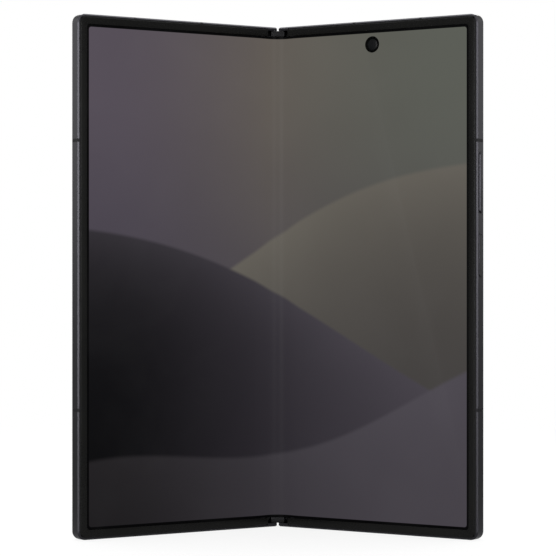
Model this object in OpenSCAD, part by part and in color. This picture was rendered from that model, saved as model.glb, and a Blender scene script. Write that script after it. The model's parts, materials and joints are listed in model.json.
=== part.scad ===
// Foldable phone, half opened and standing on its bottom edge.
// Every half is drawn in its own flat frame: x runs from the fold line outwards,
// y is the depth behind the inner screen and z runs up the phone.
// The halves are then turned about their two fold axes, which lie side by side in the spine.

/* [Body] */
// Height of the phone, along the fold
height = 158.4; // [150:0.2:168]
// Width of one half, from the fold line to its outer edge
half_w = 71.6; // [69:0.2:78]
// Thickness of one half without the camera island
thick = 4.2; // [4.2:0.05:4.6]
// Angle between the two halves
open_angle = 115; // [108:1:122]
// Radius of the outer corners
corner_r = 2.6; // [2.4:0.1:6]
// Chamfer along the outer edges of the frame
edge_cut = 0.4; // [0.2:0.05:0.5]
// Thickness of the frame walls
wall = 1.4; // [1.2:0.05:1.8]
// Width of an antenna break
break_w = 1; // [0.6:0.1:1.6]

/* [Inner screen] */
// Thickness of the folding screen
screen_t = 0.5; // [0.4:0.05:0.55]
// Width of the raised bezel round the screen
bezel_w = 2.1; // [1.4:0.1:2.4]
// Gap between the frame and the bezel
bezel_gap = 0.4; // [0.2:0.05:0.6]
// Height of the bezel above the screen
bezel_h = 0.2; // [0.1:0.02:0.22]
// Distance from the fold line to the end of the bezel
bezel_end = 4.2; // [4.2:0.1:6]
// Diameter of the camera hole in the screen
hole_d = 5.1; // [3.4:0.1:5.2]
// Distance of the camera hole from the fold line
hole_x = 35; // [28:0.5:44]
// Distance of the camera hole from the top edge
hole_top = 7.3; // [6.9:0.1:8]
// Depth to which the screen sags at the fold
sag = 0.2; // [0.1:0.05:0.3]

/* [Hinge] */
// Gap between the two screen halves when the phone is closed
closed_gap = 0.5; // [0.46:0.02:0.6]
// Length of one gear module in the spine
module_len = 16; // [15:0.5:20]
// Height of the lower module above the bottom edge
module_z = 30; // [24:1:40]
// Width of one swing arm
arm_w = 3.6; // [3:0.1:3.8]
// Tilt of the support plates when the phone is closed
plate_tilt = 12; // [12:0.5:13]

/* [Keys] */
// Length of the volume rocker
rocker_len = 18.5; // [14:0.5:20]
// Distance of the middle of the rocker from the top edge
rocker_top = 50.8; // [48:0.2:53]
// Length of the side key
key_len = 13.4; // [11:0.2:14]
// Distance of the middle of the side key from the top edge
key_top = 72.6; // [70:0.2:75]
// Width of both keys across the edge
key_w = 1.95; // [1.6:0.05:2]
// Distance the rocker stands out of the frame
rocker_out = 0.4; // [0.3:0.05:0.7]
// Distance the side key stands out of the frame
key_out = 0.15; // [0.1:0.05:0.4]

/* [Cameras] */
// Width of the camera island
island_w = 13; // [12:0.5:14]
// Height of the camera island
island_len = 46; // [45:0.5:48]
// Distance the island stands out of the back
island_out = 1.7; // [1.2:0.1:2.2]
// Distance of the island's middle line from the outer edge
island_x = 10.6; // [10:0.2:13]
// Distance between two rear lenses
lens_pitch = 11.6; // [11.4:0.1:12]
// Diameter of a rear lens ring
ring_d = 9.6; // [8:0.2:10]

/* [Ports] */
// Width of the charging socket opening
port_w = 8.4; // [8.3:0.05:8.5]
// Height of the charging socket opening
port_h = 2.6; // [2.5:0.02:2.62]
// Width of the card tray
tray_w = 11.6; // [10:0.2:14]
// Length of the card tray
tray_len = 15; // [12:0.5:18]

/* [Hidden] */
$fn = 48;

// Running gaps
slide_gap = 0.05;
fit_gap = 0.03;
turn_gap = 0.03;
join_gap = 0.02;

// Layers of one half, as depths behind the screen face
shelf_y = 0.55;
mid_t = 0.6;
mid_y = shelf_y + mid_t;
back_t = 0.45;
glass_y = thick - back_t;
ledge_y = glass_y - slide_gap;
rim = 0.5;
back_rim = 0.8;
bezel_corner = 1;

// Fold axes and spine
fold = (180 - open_angle) / 2;
axis_depth = 1.2;
axis_x = axis_depth + closed_gap / 2;
rail_t = 0.5;
spine_r = thick - rail_t - slide_gap - axis_depth;
shell_t = 0.45;
shell_r = spine_r - shell_t;
spine_back = axis_depth + spine_r;
spine_top = axis_depth + 0.45;
pocket_x = axis_x + spine_r + 0.2;
pocket_y = thick - rail_t;
end_room = 0.1;
end_wall = 1.1;
cap_t = 1.8;
cap_w = 4.5;
cap_front = -0.25;
cap_round = 0.4;
spine_z0 = end_wall + end_room + cap_t;
spine_len = height - 2 * spine_z0;

// Slanted inner end of each half
front_in = 0.82;
back_in = 0.3;
end_slant = 0.3;

// Support plates
plate_x = 9;
plate_in = 0.4;
plate_t = 0.25;
bead_r = 0.18;
bead_y = 0.75;
plate_seat_y = bead_y + bead_r + slide_gap;
plate_seat_w = 0.3;
plate_floor = 1.9;
plate_neck = 0.8;
rail_x = 9.6;
rest_tilt = plate_tilt * fold / 90;

// Folding strip of the screen: two arcs from the fold line to the flat part
strip_over = 8.5;
strip_end = 9;
strip_z0 = spine_z0 + 0.1;
strip_z1 = height - strip_z0;
strip_a = fold + strip_over;
end_px = axis_x + (strip_end - axis_x) * cos(fold) - axis_depth * sin(fold);
end_py = axis_depth - (strip_end - axis_x) * sin(fold) - axis_depth * cos(fold);
arc_a = sin(strip_a);
arc_b = sin(strip_a) - sin(fold);
arc_c = 1 - cos(strip_a);
arc_d = cos(fold) - cos(strip_a);
arc_det = arc_a * arc_d - arc_b * arc_c;
arc_in = (end_px * arc_d - arc_b * (sag - end_py)) / arc_det;
arc_out = (arc_a * (sag - end_py) - arc_c * end_px) / arc_det;
arc_steps = 14;

// Gear modules
gear_m = 0.1;
pinion_n = 9;
idler_n = 12;
sector_n = 27;
pinion_r = gear_m * pinion_n / 2;
idler_r = gear_m * idler_n / 2;
sector_r = gear_m * sector_n / 2;
tooth_up = 0.09;
tooth_down = 0.115;
tooth_root_w = 0.16;
tooth_tip_w = 0.05;
space_in_w = 0.24;
space_out_w = 0.1;
space_over = 0.1;
space_deep = 0.225;
idler_y = axis_depth + 0.877;
pinion_off = sector_r - pinion_r;
pinion_a = asin((idler_y - axis_depth) / pinion_off);
pinion_x = axis_x + pinion_off * cos(pinion_a);
idler_x = pinion_x - pinion_r - idler_r;
pin_r = 0.15;
gear_ratio = sector_n / pinion_n;
idler_ratio = sector_n / idler_n;
pinion_phase = 60;
left_pinion_phase = 80;
idler_phase = 15;
left_idler_phase = 0;
shoe_in = sector_r - gear_m;
space_floor = shoe_in + space_deep;
shoe_out = shell_r - slide_gap;
core_r = shoe_in - slide_gap;
tongue_t = 0.4;
tongue_x = 16;
tongue_w = 10;
end_t = 1.5;
web_t = 0.8;
side_play = 0.1;
arm_bay = arm_w + 2 * side_play;
gear_bay = module_len - 2 * end_t - 2 * web_t - 2 * arm_bay;
gear_z = end_t + arm_bay + web_t;
block_top = 0.9;
block_gap = 0.02;
lid_t = 0.2;
upper_z = height - module_z - module_len;
module_zs = [module_z, upper_z];
arm_screw_x = 13;
arm_screw_pitch = 6.4;
screw_r = 0.6;
screw_head_r = 1;
screw_head_t = 0.3;
block_screw_r = 0.35;
block_head_r = 0.55;
block_head_t = 0.25;

// Antenna breaks and openings
break_low = 39.1;
break_high = 38.1;
break_side = [break_low, height - break_high];
break_edge = [half_w * 0.398, half_w * 0.726];
key_y = thick / 2;
rocker_z = height - rocker_top;
key_z = height - key_top;
key_flange = 0.5;
key_flange_t = 0.5;
pocket_gap = 0.07;
pocket_deep = 1.2;
rocker_gap = 0.09;
rocker_stop = 0.3;
rocker_pin_r = 0.15;
switch_t = 0.8;
switch_w = 1.6;
switch_len = 2.4;
switch_strip_t = 0.3;
pad_in = 0.5;
pad_t = 0.2;
pad_sink = 0.05;
press = 0.25;
port_x = half_w * 0.503;
port_y = thick / 2 + 0.05;
port_depth = 7.3;
port_shell = 0.25;
port_inset = 0.15;
port_back = 1;
port_tongue_t = 0.7;
port_tongue_w = 6.7;
speaker_x = break_edge[1] + 3.2;
speaker_slots = 5;
speaker_pitch = 2.6;
speaker_slot_w = 1.8;
slot_t = 1;
mic_r = 0.4;
mic_in = 1.6;
mic_x = break_edge[0] - mic_in;
left_mic_x = half_w - 6;
tray_in = 11.6;
tray_x = half_w - tray_in;
tray_y = 2.1;
tray_t = 1.2;
pin_hole_r = 0.4;
ear_x = 20;
ear_t = 0.8;
ear_w = 8;

// Inner parts
inner_gap = 0.1;
part_gap = 2;
part_y = mid_y + inner_gap;
part_back = ledge_y - inner_gap;
inner_x0 = tongue_x + part_gap;
key_room = 6.2;
inner_x1 = half_w - wall - key_room;
lower_room = 22;
hole_z = height - hole_top;
hole_house = 6.8;
hole_house_t = 2;
hole_lip = 0.9;
island_top = 6;
island_mid_x = half_w - island_x;
island_mid_z = height - island_top - island_len / 2;
island_lip = 0.3;
island_seat = 2;
flash_r = 1.6;
// Room left along the island, shared out above the lenses, below the flash and between them
island_spare = island_len - 2 * lens_pitch - ring_d - 2 * flash_r;
above_share = 0.24;
below_share = 0.44;
lens_in = ring_d / 2 + above_share * island_spare;
lens_z0 = island_mid_z + island_len / 2 - lens_in;
lens_zs = [lens_z0, lens_z0 - lens_pitch, lens_z0 - 2 * lens_pitch];
lens_ring_w = 0.8;
lens_ring_out = 0.5;
lens_window_t = 0.8;
flash_in = flash_r + below_share * island_spare;
flash_z = island_mid_z - island_len / 2 + flash_in;
flash_t = 0.75;
barrel_r = 3.6;
barrel_wall = 1.2;
barrel_stop = 0.5;
barrel_bore = 1.1;
camera_house = 10;
board_z0 = height * 0.625;
board_z1 = hole_z - hole_house / 2 - part_gap;
board_x1 = island_mid_x - camera_house / 2 - 1.5 * part_gap;
board_w = board_x1 - inner_x0;
board_h = board_z1 - board_z0;
board_t = 0.7;
board_hole_r = 1;
can_t = 1.2;
can_in = 2.2;
can_low_h = board_h * 0.34;
can_high_h = board_h * 0.42;
battery_t = 1.95;
battery_w = inner_x1 - inner_x0;
battery_h = board_z0 - 1.5 * part_gap - lower_room;
shield_t = 0.1;
shield_w = 44;
coil_t = 0.18;
coil_r = 20;
coil_hole_r = 10.5;
coil_x = inner_x0 + battery_w / 2;
coil_z = lower_room + battery_h * 0.54;
speaker_box_x = port_x + port_w / 2 + 4.5 * part_gap;
speaker_box_w = half_w - wall - 1.5 * part_gap - speaker_box_x;
speaker_box_h = 12;
motor_r = 4.4;
motor_x = inner_x0 + part_gap;
motor_z = wall + motor_r + 2 * part_gap;
magnet_w = 2.5;
magnet_len = 9;
magnet_z = 16;
magnet_t = 1.7;
ribbon_t = 0.12;
ribbon_w = 2.2;
ribbon_foot_w = 4;
ribbon_foot_h = 9;
ribbon_z = port_depth + ribbon_foot_h + 0.5;
ribbon_x = inner_x1 + 0.5;
cover_t = 0.5;
cover_in = 1;
cover_hole_x = half_w * 0.53;
cover_hole_z = height - 8;
cover_hole_r = 2.1;
reader_wall = 0.6;
reader_cover = 0.3;
tray_wall = 1;
tray_inset = 0.05;
second_t = 1.7;
sub_z1 = height - tray_len - reader_wall - 1.5 * part_gap;
sub_z0 = height * 0.7133;
sub_t = 0.6;
second_w = half_w - wall - 2 * part_gap - inner_x0;
second_h = sub_z0 - 1.5 * part_gap - lower_room;
ear_box_w = 11;
ear_box_h = 5;
far_front = axis_depth - (half_w - edge_cut - axis_x) * sin(fold) - axis_depth * cos(fold);
far_back = axis_depth + (axis_x - back_in) * sin(fold) + (thick - axis_depth) * cos(fold);
origin_shift = -(far_front + far_back) / 2;

// Colours
frame_c = [0.27, 0.27, 0.3];
break_c = [0.2, 0.2, 0.22];
bezel_c = [0.11, 0.11, 0.11];
screen_c = [0.32, 0.31, 0.32];
black_c = [0.05, 0.05, 0.06];
steel_c = [0.6, 0.6, 0.62];
dark_steel_c = [0.33, 0.33, 0.35];
back_c = [0.3, 0.3, 0.34];
copper_c = [0.72, 0.45, 0.25];
board_c = [0.06, 0.2, 0.16];
cell_c = [0.14, 0.14, 0.15];

// ---------------------------------------------------------------- placing

module hinge_place() {
    translate([0, origin_shift, 0])
        children();
}

module right_place() {
    translate([axis_x, axis_depth + origin_shift, 0])
        rotate([0, 0, -fold])
            translate([-axis_x, -axis_depth, 0])
                children();
}

module left_place() {
    mirror([1, 0, 0])
        right_place()
            children();
}

// A flat shape drawn in x and z, as a layer between two depths
module layer(y0, y1) {
    translate([0, y1, 0])
        rotate([90, 0, 0])
            linear_extrude(y1 - y0)
                children();
}

// Sheet outline with its two outer corners rounded
module sheet(x0, x1, z0, z1, r) {
    translate([x0, z0])
        square([x1 - x0 - r, z1 - z0]);
    translate([x0, z0 + r])
        square([x1 - x0, z1 - z0 - 2 * r]);
    for (z = [z0 + r, z1 - r])
        translate([x1 - r, z])
            circle(r);
}

// Outline with half round ends, standing along z
module pill(w, len) {
    square([w, len - w], center = true);
    for (s = [-1, 1])
        translate([0, s * (len - w) / 2])
            circle(w / 2);
}

module box(x0, x1, y0, y1, z0, z1) {
    translate([x0, y0, z0])
        cube([x1 - x0, y1 - y0, z1 - z0]);
}

// Rod along the depth
module rod(x, z, r, y0, y1) {
    translate([x, y0, z])
        rotate([-90, 0, 0])
            cylinder(r = r, h = y1 - y0);
}

// ---------------------------------------------------------------- frames

// Outer body of one half with chamfered edges and round outer corners
module outer_slab() {
    far = -8;
    translate([0, 0, corner_r])
        linear_extrude(height - 2 * corner_r)
            polygon([[far, 0], [half_w - edge_cut, 0], [half_w, edge_cut],
                [half_w, thick - edge_cut], [half_w - edge_cut, thick], [far, thick]]);
    translate([far, 0, 0])
        rotate([90, 0, 90])
            linear_extrude(half_w - corner_r - far)
                polygon([[edge_cut, 0], [thick - edge_cut, 0], [thick, edge_cut],
                    [thick, height - edge_cut], [thick - edge_cut, height],
                    [edge_cut, height], [0, height - edge_cut], [0, edge_cut]]);
    for (z = [corner_r, height - corner_r])
        translate([half_w - corner_r, 0, z])
            rotate([-90, 0, 0])
                rotate_extrude()
                    polygon([[0, 0], [corner_r - edge_cut, 0], [corner_r, edge_cut],
                        [corner_r, thick - edge_cut], [corner_r - edge_cut, thick], [0, thick]]);
}

// Slanted inner end, with its corners cut back at the top and the bottom edge
module end_cut() {
    translate([0, 0, -1])
        linear_extrude(height + 2)
            polygon([[-9, -1], [front_in + (front_in - back_in) / thick, -1],
                [back_in - (front_in - back_in) / thick, thick + 1], [-9, thick + 1]]);
    for (s = [0, 1])
        translate([0, 0, s * height])
            mirror([0, 0, s])
                layer(-1, thick + 1)
                    polygon([[-1, -1], [front_in + end_slant + 1, -1], [front_in - 1, end_slant + 1],
                        [-1, end_slant + 1]]);
}

// Front recess for the screen and the bezel
module screen_recess() {
    layer(-1, shelf_y)
        sheet(bezel_end, half_w - rim, rim, height - rim, corner_r - rim);
}

// Back recess for the glass
module glass_recess() {
    layer(ledge_y, thick + 1)
        sheet(pocket_x + back_rim, half_w - back_rim, back_rim, height - back_rim, corner_r - back_rim);
}

// Room for the spine, the support plate and its seat
module hinge_room() {
    box(-2, pocket_x, -1, pocket_y, end_wall, height - end_wall);
    box(0, plate_x - plate_seat_w, -1, plate_floor, wall, height - wall);
    box(0, plate_x + plate_seat_w, -1, plate_seat_y, wall, height - wall);
}

// Room for the inner parts
module inner_room() {
    layer(mid_y, ledge_y + 1)
        sheet(rail_x, half_w - wall, wall, height - wall, corner_r - wall);
}

// Pockets in the middle plate for the flanges of the keys
module key_pockets() {
    for (k = [[rocker_z, rocker_len], [key_z, key_len]])
        key_bar(k[0], k[1] + key_flange + 2 * pocket_gap, key_w + key_flange + 2 * pocket_gap,
            half_w - wall - pocket_deep, half_w - wall);
}

// Slots, through which the swing arms reach the middle plate, and their screw holes
module arm_slots(z_off) {
    for (z = module_zs) {
        box(plate_x - 1, rail_x + 1, mid_y - join_gap, mid_y + tongue_t + slide_gap,
            z + z_off - side_play, z + z_off + arm_w + side_play);
        for (s = [-1, 1])
            rod(arm_screw_x, z + z_off + arm_w / 2 + s * arm_screw_pitch / 2, screw_r + join_gap,
                shelf_y + slide_gap, mid_y + 1);
    }
}

// Cuts for the antenna breaks, through the walls only
module break_cuts() {
    for (z = break_side)
        box(half_w - wall, half_w + 1, -1, thick + 1, z - break_w / 2, z + break_w / 2);
    for (x = break_edge)
        for (z = [-1, height - wall])
            box(x - break_w / 2, x + break_w / 2, -1, thick + 1, z, z + wall + 1);
}

module half_frame() {
    difference() {
        outer_slab();
        end_cut();
        screen_recess();
        glass_recess();
        hinge_room();
        inner_room();
        break_cuts();
    }
}

module antenna_breaks() {
    difference() {
        intersection() {
            outer_slab();
            break_cuts();
        }
        screen_recess();
        glass_recess();
    }
}

// Key outline, lying along the outer edge
module key_bar(z, len, w, x0, x1) {
    translate([x0, key_y, z])
        rotate([90, 0, 90])
            linear_extrude(x1 - x0)
                pill(w, len);
}

module right_frame() {
    color(frame_c)
        right_place()
            difference() {
                half_frame();
                arm_slots(end_t + side_play);
                key_pockets();
                key_bar(rocker_z, rocker_len + 2 * rocker_gap, key_w + 2 * slide_gap,
                    half_w - wall - 1, half_w + 1);
                key_bar(key_z, key_len + 2 * slide_gap, key_w + 2 * slide_gap,
                    half_w - wall - 1, half_w + 1);
                rod(hole_x, hole_z, hole_d / 2 + inner_gap, 0, thick / 2);
                socket_body(port_shell + join_gap, -1);
                for (i = [0:speaker_slots - 1])
                    translate([speaker_x + i * speaker_pitch, key_y, -1])
                        linear_extrude(wall + 2)
                            rotate(90)
                                pill(slot_t, speaker_slot_w);
                translate([mic_x, key_y, -1])
                    cylinder(r = mic_r, h = wall + 2);
                translate([mic_x, key_y, height - wall - 1])
                    cylinder(r = mic_r, h = wall + 2);
            }
}

module right_antenna_breaks() {
    color(break_c)
        right_place()
            antenna_breaks();
}

module left_frame() {
    color(frame_c)
        left_place()
            difference() {
                half_frame();
                arm_slots(module_len - end_t - side_play - arm_w);
                box(tray_x - tray_w / 2 - slide_gap, tray_x + tray_w / 2 + slide_gap,
                    tray_y - tray_t / 2 - slide_gap, tray_y + tray_t / 2 + slide_gap,
                    height - wall - 1, height + 1);
                translate([ear_x, key_y, height - wall - 1])
                    linear_extrude(wall + 2)
                        rotate(90)
                            pill(ear_t, ear_w);
                translate([left_mic_x, key_y, -1])
                    cylinder(r = mic_r, h = wall + 2);
            }
}

module left_antenna_breaks() {
    color(break_c)
        left_place()
            antenna_breaks();
}

// ---------------------------------------------------------------- inner screen

// Raised rim on the border of the screen, open towards the fold
module bezel() {
    outer = rim + bezel_gap;
    inner = outer + bezel_w;
    layer(-bezel_h, 0)
        difference() {
            sheet(bezel_end, half_w - outer, outer, height - outer, corner_r - outer);
            sheet(bezel_end - 1, half_w - inner, inner, height - inner, bezel_corner);
        }
}

module screen_sheet() {
    layer(0, screen_t)
        sheet(strip_end + join_gap, half_w - rim - fit_gap, rim + fit_gap, height - rim - fit_gap,
            corner_r - rim - fit_gap);
}

module right_bezel() {
    color(bezel_c)
        right_place()
            bezel();
}

module left_bezel() {
    color(bezel_c)
        left_place()
            bezel();
}

module display_right() {
    color(screen_c)
        right_place()
            difference() {
                screen_sheet();
                rod(hole_x, hole_z, hole_d / 2, -1, thick);
            }
}

module display_left() {
    color(screen_c)
        left_place()
            screen_sheet();
}

// Point of the folding strip at slope a on its tight and on its wide arc, d behind the face
function tight_pt(a, d) = [arc_in * sin(a) + d * sin(a), sag - arc_in * (1 - cos(a)) + d * cos(a)];
function wide_pt(a, d) = tight_pt(strip_a, 0)
    + [arc_out * (sin(strip_a) - sin(a)) + d * sin(a), arc_out * (cos(strip_a) - cos(a)) + d * cos(a)];
function strip_side(d) = concat(
    [for (i = [1:arc_steps]) tight_pt(strip_a * i / arc_steps, d)],
    [for (i = [1:arc_steps / 2]) wide_pt(strip_a + (fold - strip_a) * i * 2 / arc_steps, d)]);
function flip(p) = [for (i = [len(p) - 1:-1:0]) [-p[i][0], p[i][1]]];
function back(p) = [for (i = [len(p) - 1:-1:0]) p[i]];

module display_fold() {
    face = concat(flip(strip_side(0)), [tight_pt(0, 0)], strip_side(0));
    rear = concat(flip(strip_side(screen_t)), [tight_pt(0, screen_t)], strip_side(screen_t));
    color(screen_c)
        hinge_place()
            translate([0, 0, strip_z0])
                linear_extrude(strip_z1 - strip_z0)
                    polygon(concat(face, back(rear)));
}

// Thin plate under the folding strip, with notches at the gear modules
module support_plate() {
    translate([plate_x, bead_y, 0])
        rotate([0, 0, -rest_tilt])
            translate([-plate_x, -bead_y, 0])
                difference() {
                    union() {
                        box(plate_in, plate_x, shelf_y, shelf_y + plate_t, strip_z0, strip_z1);
                        translate([plate_x, bead_y, strip_z0])
                            cylinder(r = bead_r, h = strip_z1 - strip_z0);
                    }
                    for (z = module_zs)
                        box(-1, plate_x - plate_neck, -1, 3, z - end_room, z + module_len + end_room);
                }
}

module right_support_plate() {
    color(steel_c)
        right_place()
            support_plate();
}

module left_support_plate() {
    color(steel_c)
        left_place()
            support_plate();
}

// ---------------------------------------------------------------- spine

// Cross section of the spine, r about both fold axes
module spine_shape(r) {
    for (s = [-1, 1])
        translate([s * axis_x, axis_depth])
            circle(r, $fn = 96);
    translate([-axis_x, 0])
        square([2 * axis_x, axis_depth + r]);
}

// Everything in front of depth y
module front_of(y) {
    side = 2 * pocket_x;
    translate([-side / 2, y - side])
        square([side, side]);
}

module hinge_spine() {
    color(frame_c)
        hinge_place()
            difference() {
                translate([0, 0, spine_z0])
                    linear_extrude(spine_len)
                        difference() {
                            spine_shape(spine_r);
                            spine_shape(shell_r);
                            front_of(spine_top);
                        }
                for (z = module_zs)
                    for (e = [end_t / 2, module_len - end_t / 2])
                        rod(0, z + e, block_screw_r + join_gap, spine_back - shell_t - 1,
                            spine_back - slide_gap);
            }
}

// Caps that close the spine and guard the ends of the folding screen
module spine_end_caps() {
    color(dark_steel_c)
        hinge_place()
            for (s = [0, 1])
                translate([0, 0, s * height])
                    mirror([0, 0, s])
                        translate([0, 0, end_wall + end_room])
                            linear_extrude(cap_t)
                                union() {
                                    difference() {
                                        spine_shape(spine_r);
                                        front_of(spine_top);
                                    }
                                    translate([-cap_w / 2, cap_front + cap_round])
                                        square([cap_w, spine_top + cap_round - cap_front]);
                                    translate([cap_round - cap_w / 2, cap_front])
                                        square([cap_w - 2 * cap_round, spine_top - cap_front]);
                                    for (t = [-1, 1])
                                        translate([t * (cap_w / 2 - cap_round), cap_front + cap_round])
                                            circle(cap_round);
                                }
}

module block_shape() {
    difference() {
        spine_shape(shell_r - block_gap);
        front_of(block_top);
    }
}

module ring_bay() {
    translate([axis_x, axis_depth])
        difference() {
            circle(shell_r + 1, $fn = 96);
            circle(core_r);
        }
}

module pinion_bay() {
    translate([pinion_x, idler_y])
        circle(pinion_r + tooth_up + slide_gap);
}

module pin_hole(x) {
    translate([x, idler_y])
        circle(pin_r);
}

// Bay for the arm and the long pinion of one side
module arm_bay_layer() {
    difference() {
        block_shape();
        ring_bay();
        pinion_bay();
    }
}

module web_layer() {
    difference() {
        block_shape();
        pinion_bay();
        pin_hole(-idler_x);
        pin_hole(idler_x);
        pin_hole(-pinion_x);
    }
}

module gear_bay_layer() {
    room = pinion_r + tooth_up + slide_gap;
    difference() {
        block_shape();
        for (s = [-1, 1])
            mirror([s < 0 ? 1 : 0, 0])
                pinion_bay();
        for (s = [-1, 1])
            translate([s * idler_x, idler_y])
                circle(idler_r + tooth_up + slide_gap);
        translate([-pinion_x - room, 0])
            square([2 * (pinion_x + room), idler_y]);
    }
}

module hinge_blocks() {
    color(dark_steel_c)
        hinge_place()
            for (z = module_zs)
                translate([0, 0, z])
                    difference() {
                        union() {
                            for (e = [0, module_len - end_t])
                                translate([0, 0, e])
                                    linear_extrude(end_t)
                                        difference() {
                                            block_shape();
                                            for (s = [-1, 1])
                                                pin_hole(s * pinion_x);
                                        }
                            translate([0, 0, end_t])
                                linear_extrude(arm_bay)
                                    arm_bay_layer();
                            translate([0, 0, end_t + arm_bay])
                                linear_extrude(web_t)
                                    web_layer();
                            translate([0, 0, gear_z])
                                linear_extrude(gear_bay)
                                    gear_bay_layer();
                            translate([0, 0, gear_z + gear_bay])
                                linear_extrude(web_t)
                                    mirror([1, 0])
                                        web_layer();
                            translate([0, 0, gear_z + gear_bay + web_t])
                                linear_extrude(arm_bay)
                                    mirror([1, 0])
                                        arm_bay_layer();
                        }
                        for (e = [end_t / 2, module_len - end_t / 2]) {
                            rod(0, e, block_screw_r + join_gap, 0, thick);
                            rod(0, e, block_head_r + join_gap, 0, block_top + block_head_t);
                        }
                    }
}

// Lid over the gear bay, let in flush with the face of the block
module gear_covers() {
    room = pinion_r + tooth_up + slide_gap;
    color(steel_c)
        hinge_place()
            for (z = module_zs)
                box(-pinion_x - room + join_gap, pinion_x + room - join_gap, block_top, block_top + lid_t,
                    z + gear_z + join_gap, z + gear_z + gear_bay - join_gap);
}

module block_screws() {
    color(steel_c)
        hinge_place()
            for (z = module_zs)
                for (e = [end_t / 2, module_len - end_t / 2]) {
                    rod(0, z + e, block_head_r, block_top, block_top + block_head_t);
                    rod(0, z + e, block_screw_r, block_top, spine_back - 2 * slide_gap);
                }
}

module gear_pins() {
    sink = web_t - side_play;
    color(steel_c)
        hinge_place()
            for (z = module_zs)
                translate([0, 0, z]) {
                    for (s = [-1, 1])
                        translate([s * idler_x, idler_y, gear_z - sink])
                            cylinder(r = pin_r - join_gap / 2, h = gear_bay + 2 * sink);
                    translate([pinion_x, idler_y, side_play])
                        cylinder(r = pin_r - join_gap / 2, h = gear_z + gear_bay + sink - side_play);
                    translate([-pinion_x, idler_y, gear_z - sink])
                        cylinder(r = pin_r - join_gap / 2, h = module_len - side_play - gear_z + sink);
                }
}

// Toothed wheel outline with a tooth at angle a
function wheel(n, r, a) = [for (i = [0:n - 1]) for (k = [0:3])
    let (at_tip = k == 1 || k == 2, side = k < 2 ? -1 : 1,
        q = at_tip ? r + tooth_up : r - tooth_down,
        w = at_tip ? tooth_tip_w : tooth_root_w,
        t = a + 360 * i / n + side * asin(w / 2 / q)) q * [cos(t), sin(t)]];

module gear(n, r, a, len) {
    linear_extrude(len)
        difference() {
            polygon(wheel(n, r, a));
            circle(pin_r + turn_gap);
        }
}

module pinions(a, z_off) {
    for (z = module_zs)
        translate([pinion_x, idler_y, z + z_off + side_play])
            gear(pinion_n, pinion_r, a - gear_ratio * fold, arm_bay + web_t + gear_bay - 2 * side_play);
}

module idlers(a) {
    for (z = module_zs)
        translate([idler_x, idler_y, z + gear_z + side_play])
            gear(idler_n, idler_r, a + idler_ratio * fold, gear_bay - 2 * side_play);
}

module right_pinions() {
    color(steel_c)
        hinge_place()
            pinions(pinion_phase, end_t);
}

module left_pinions() {
    color(steel_c)
        hinge_place()
            mirror([1, 0, 0])
                pinions(left_pinion_phase, gear_z);
}

module right_idlers() {
    color(steel_c)
        hinge_place()
            idlers(idler_phase);
}

module left_idlers() {
    color(steel_c)
        hinge_place()
            mirror([1, 0, 0])
                idlers(left_idler_phase);
}

// Swing arm: arc shoe with an inner row of teeth, and a tongue that is screwed to the half
function arc_pts(r, a0, a1, n) = [for (i = [0:n]) let (a = a0 + (a1 - a0) * i / n) r * [cos(a), sin(a)]];

module arm_shape(tooth_at) {
    first = 5;
    last = 170;
    toothed = 50;
    step = 360 / sector_n;
    phase = pinion_a + (tooth_at - pinion_a) / gear_ratio;
    difference() {
        polygon(concat(arc_pts(shoe_out, first, last, 44), arc_pts(shoe_in, last, first, 44)));
        for (k = [-2:8]) {
            a = phase + k * step;
            if (a > toothed && a < last + step)
                polygon([for (c = [[shoe_in - space_over, -space_in_w], [shoe_in, -space_in_w],
                    [space_floor, -space_out_w], [space_floor, space_out_w], [shoe_in, space_in_w],
                    [shoe_in - space_over, space_in_w]])
                    let (t = a + asin(c[1] / 2 / c[0])) c[0] * [cos(t), sin(t)]]);
        }
    }
    translate([shoe_in * cos(first), mid_y - axis_depth])
        square([tongue_x - axis_x - shoe_in * cos(first), tongue_t]);
}

module arms(z_off, tooth_at) {
    for (z = module_zs)
        difference() {
            union() {
                translate([axis_x, axis_depth, z + z_off])
                    linear_extrude(arm_w)
                        arm_shape(tooth_at);
                box(rail_x + inner_gap, tongue_x, mid_y, mid_y + tongue_t,
                    z + z_off + arm_w / 2 - tongue_w / 2, z + z_off + arm_w / 2 + tongue_w / 2);
            }
            for (s = [-1, 1])
                rod(arm_screw_x, z + z_off + arm_w / 2 + s * arm_screw_pitch / 2,
                    screw_r + join_gap, 0, thick);
        }
}

module arm_screws(z_off) {
    for (z = module_zs)
        for (s = [-1, 1]) {
            rod(arm_screw_x, z + z_off + arm_w / 2 + s * arm_screw_pitch / 2, screw_r,
                shelf_y + 2 * slide_gap, mid_y + tongue_t + screw_head_t);
            rod(arm_screw_x, z + z_off + arm_w / 2 + s * arm_screw_pitch / 2, screw_head_r,
                mid_y + tongue_t, mid_y + tongue_t + screw_head_t);
        }
}

module right_arms() {
    color(dark_steel_c)
        right_place()
            arms(end_t + side_play, pinion_phase);
}

module left_arms() {
    color(dark_steel_c)
        left_place()
            arms(module_len - end_t - side_play - arm_w, left_pinion_phase);
}

module right_arm_screws() {
    color(steel_c)
        right_place()
            arm_screws(end_t + side_play);
}

module left_arm_screws() {
    color(steel_c)
        left_place()
            arm_screws(module_len - end_t - side_play - arm_w);
}

// ---------------------------------------------------------------- right half

module inner_camera() {
    color(black_c)
        right_place()
            difference() {
                union() {
                    rod(hole_x, hole_z, hole_d / 2, screen_t + slide_gap, part_y + inner_gap);
                    box(hole_x - hole_house / 2, hole_x + hole_house / 2, part_y, part_y + hole_house_t,
                        hole_z - hole_house / 2, hole_z + hole_house / 2);
                }
                rod(hole_x, hole_z, hole_d / 2 - hole_lip, 0, mid_y);
            }
}

module inner_camera_lens() {
    color(black_c)
        right_place()
            rod(hole_x, hole_z, hole_d / 2 - fit_gap, slide_gap, screen_t + slide_gap);
}

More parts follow.
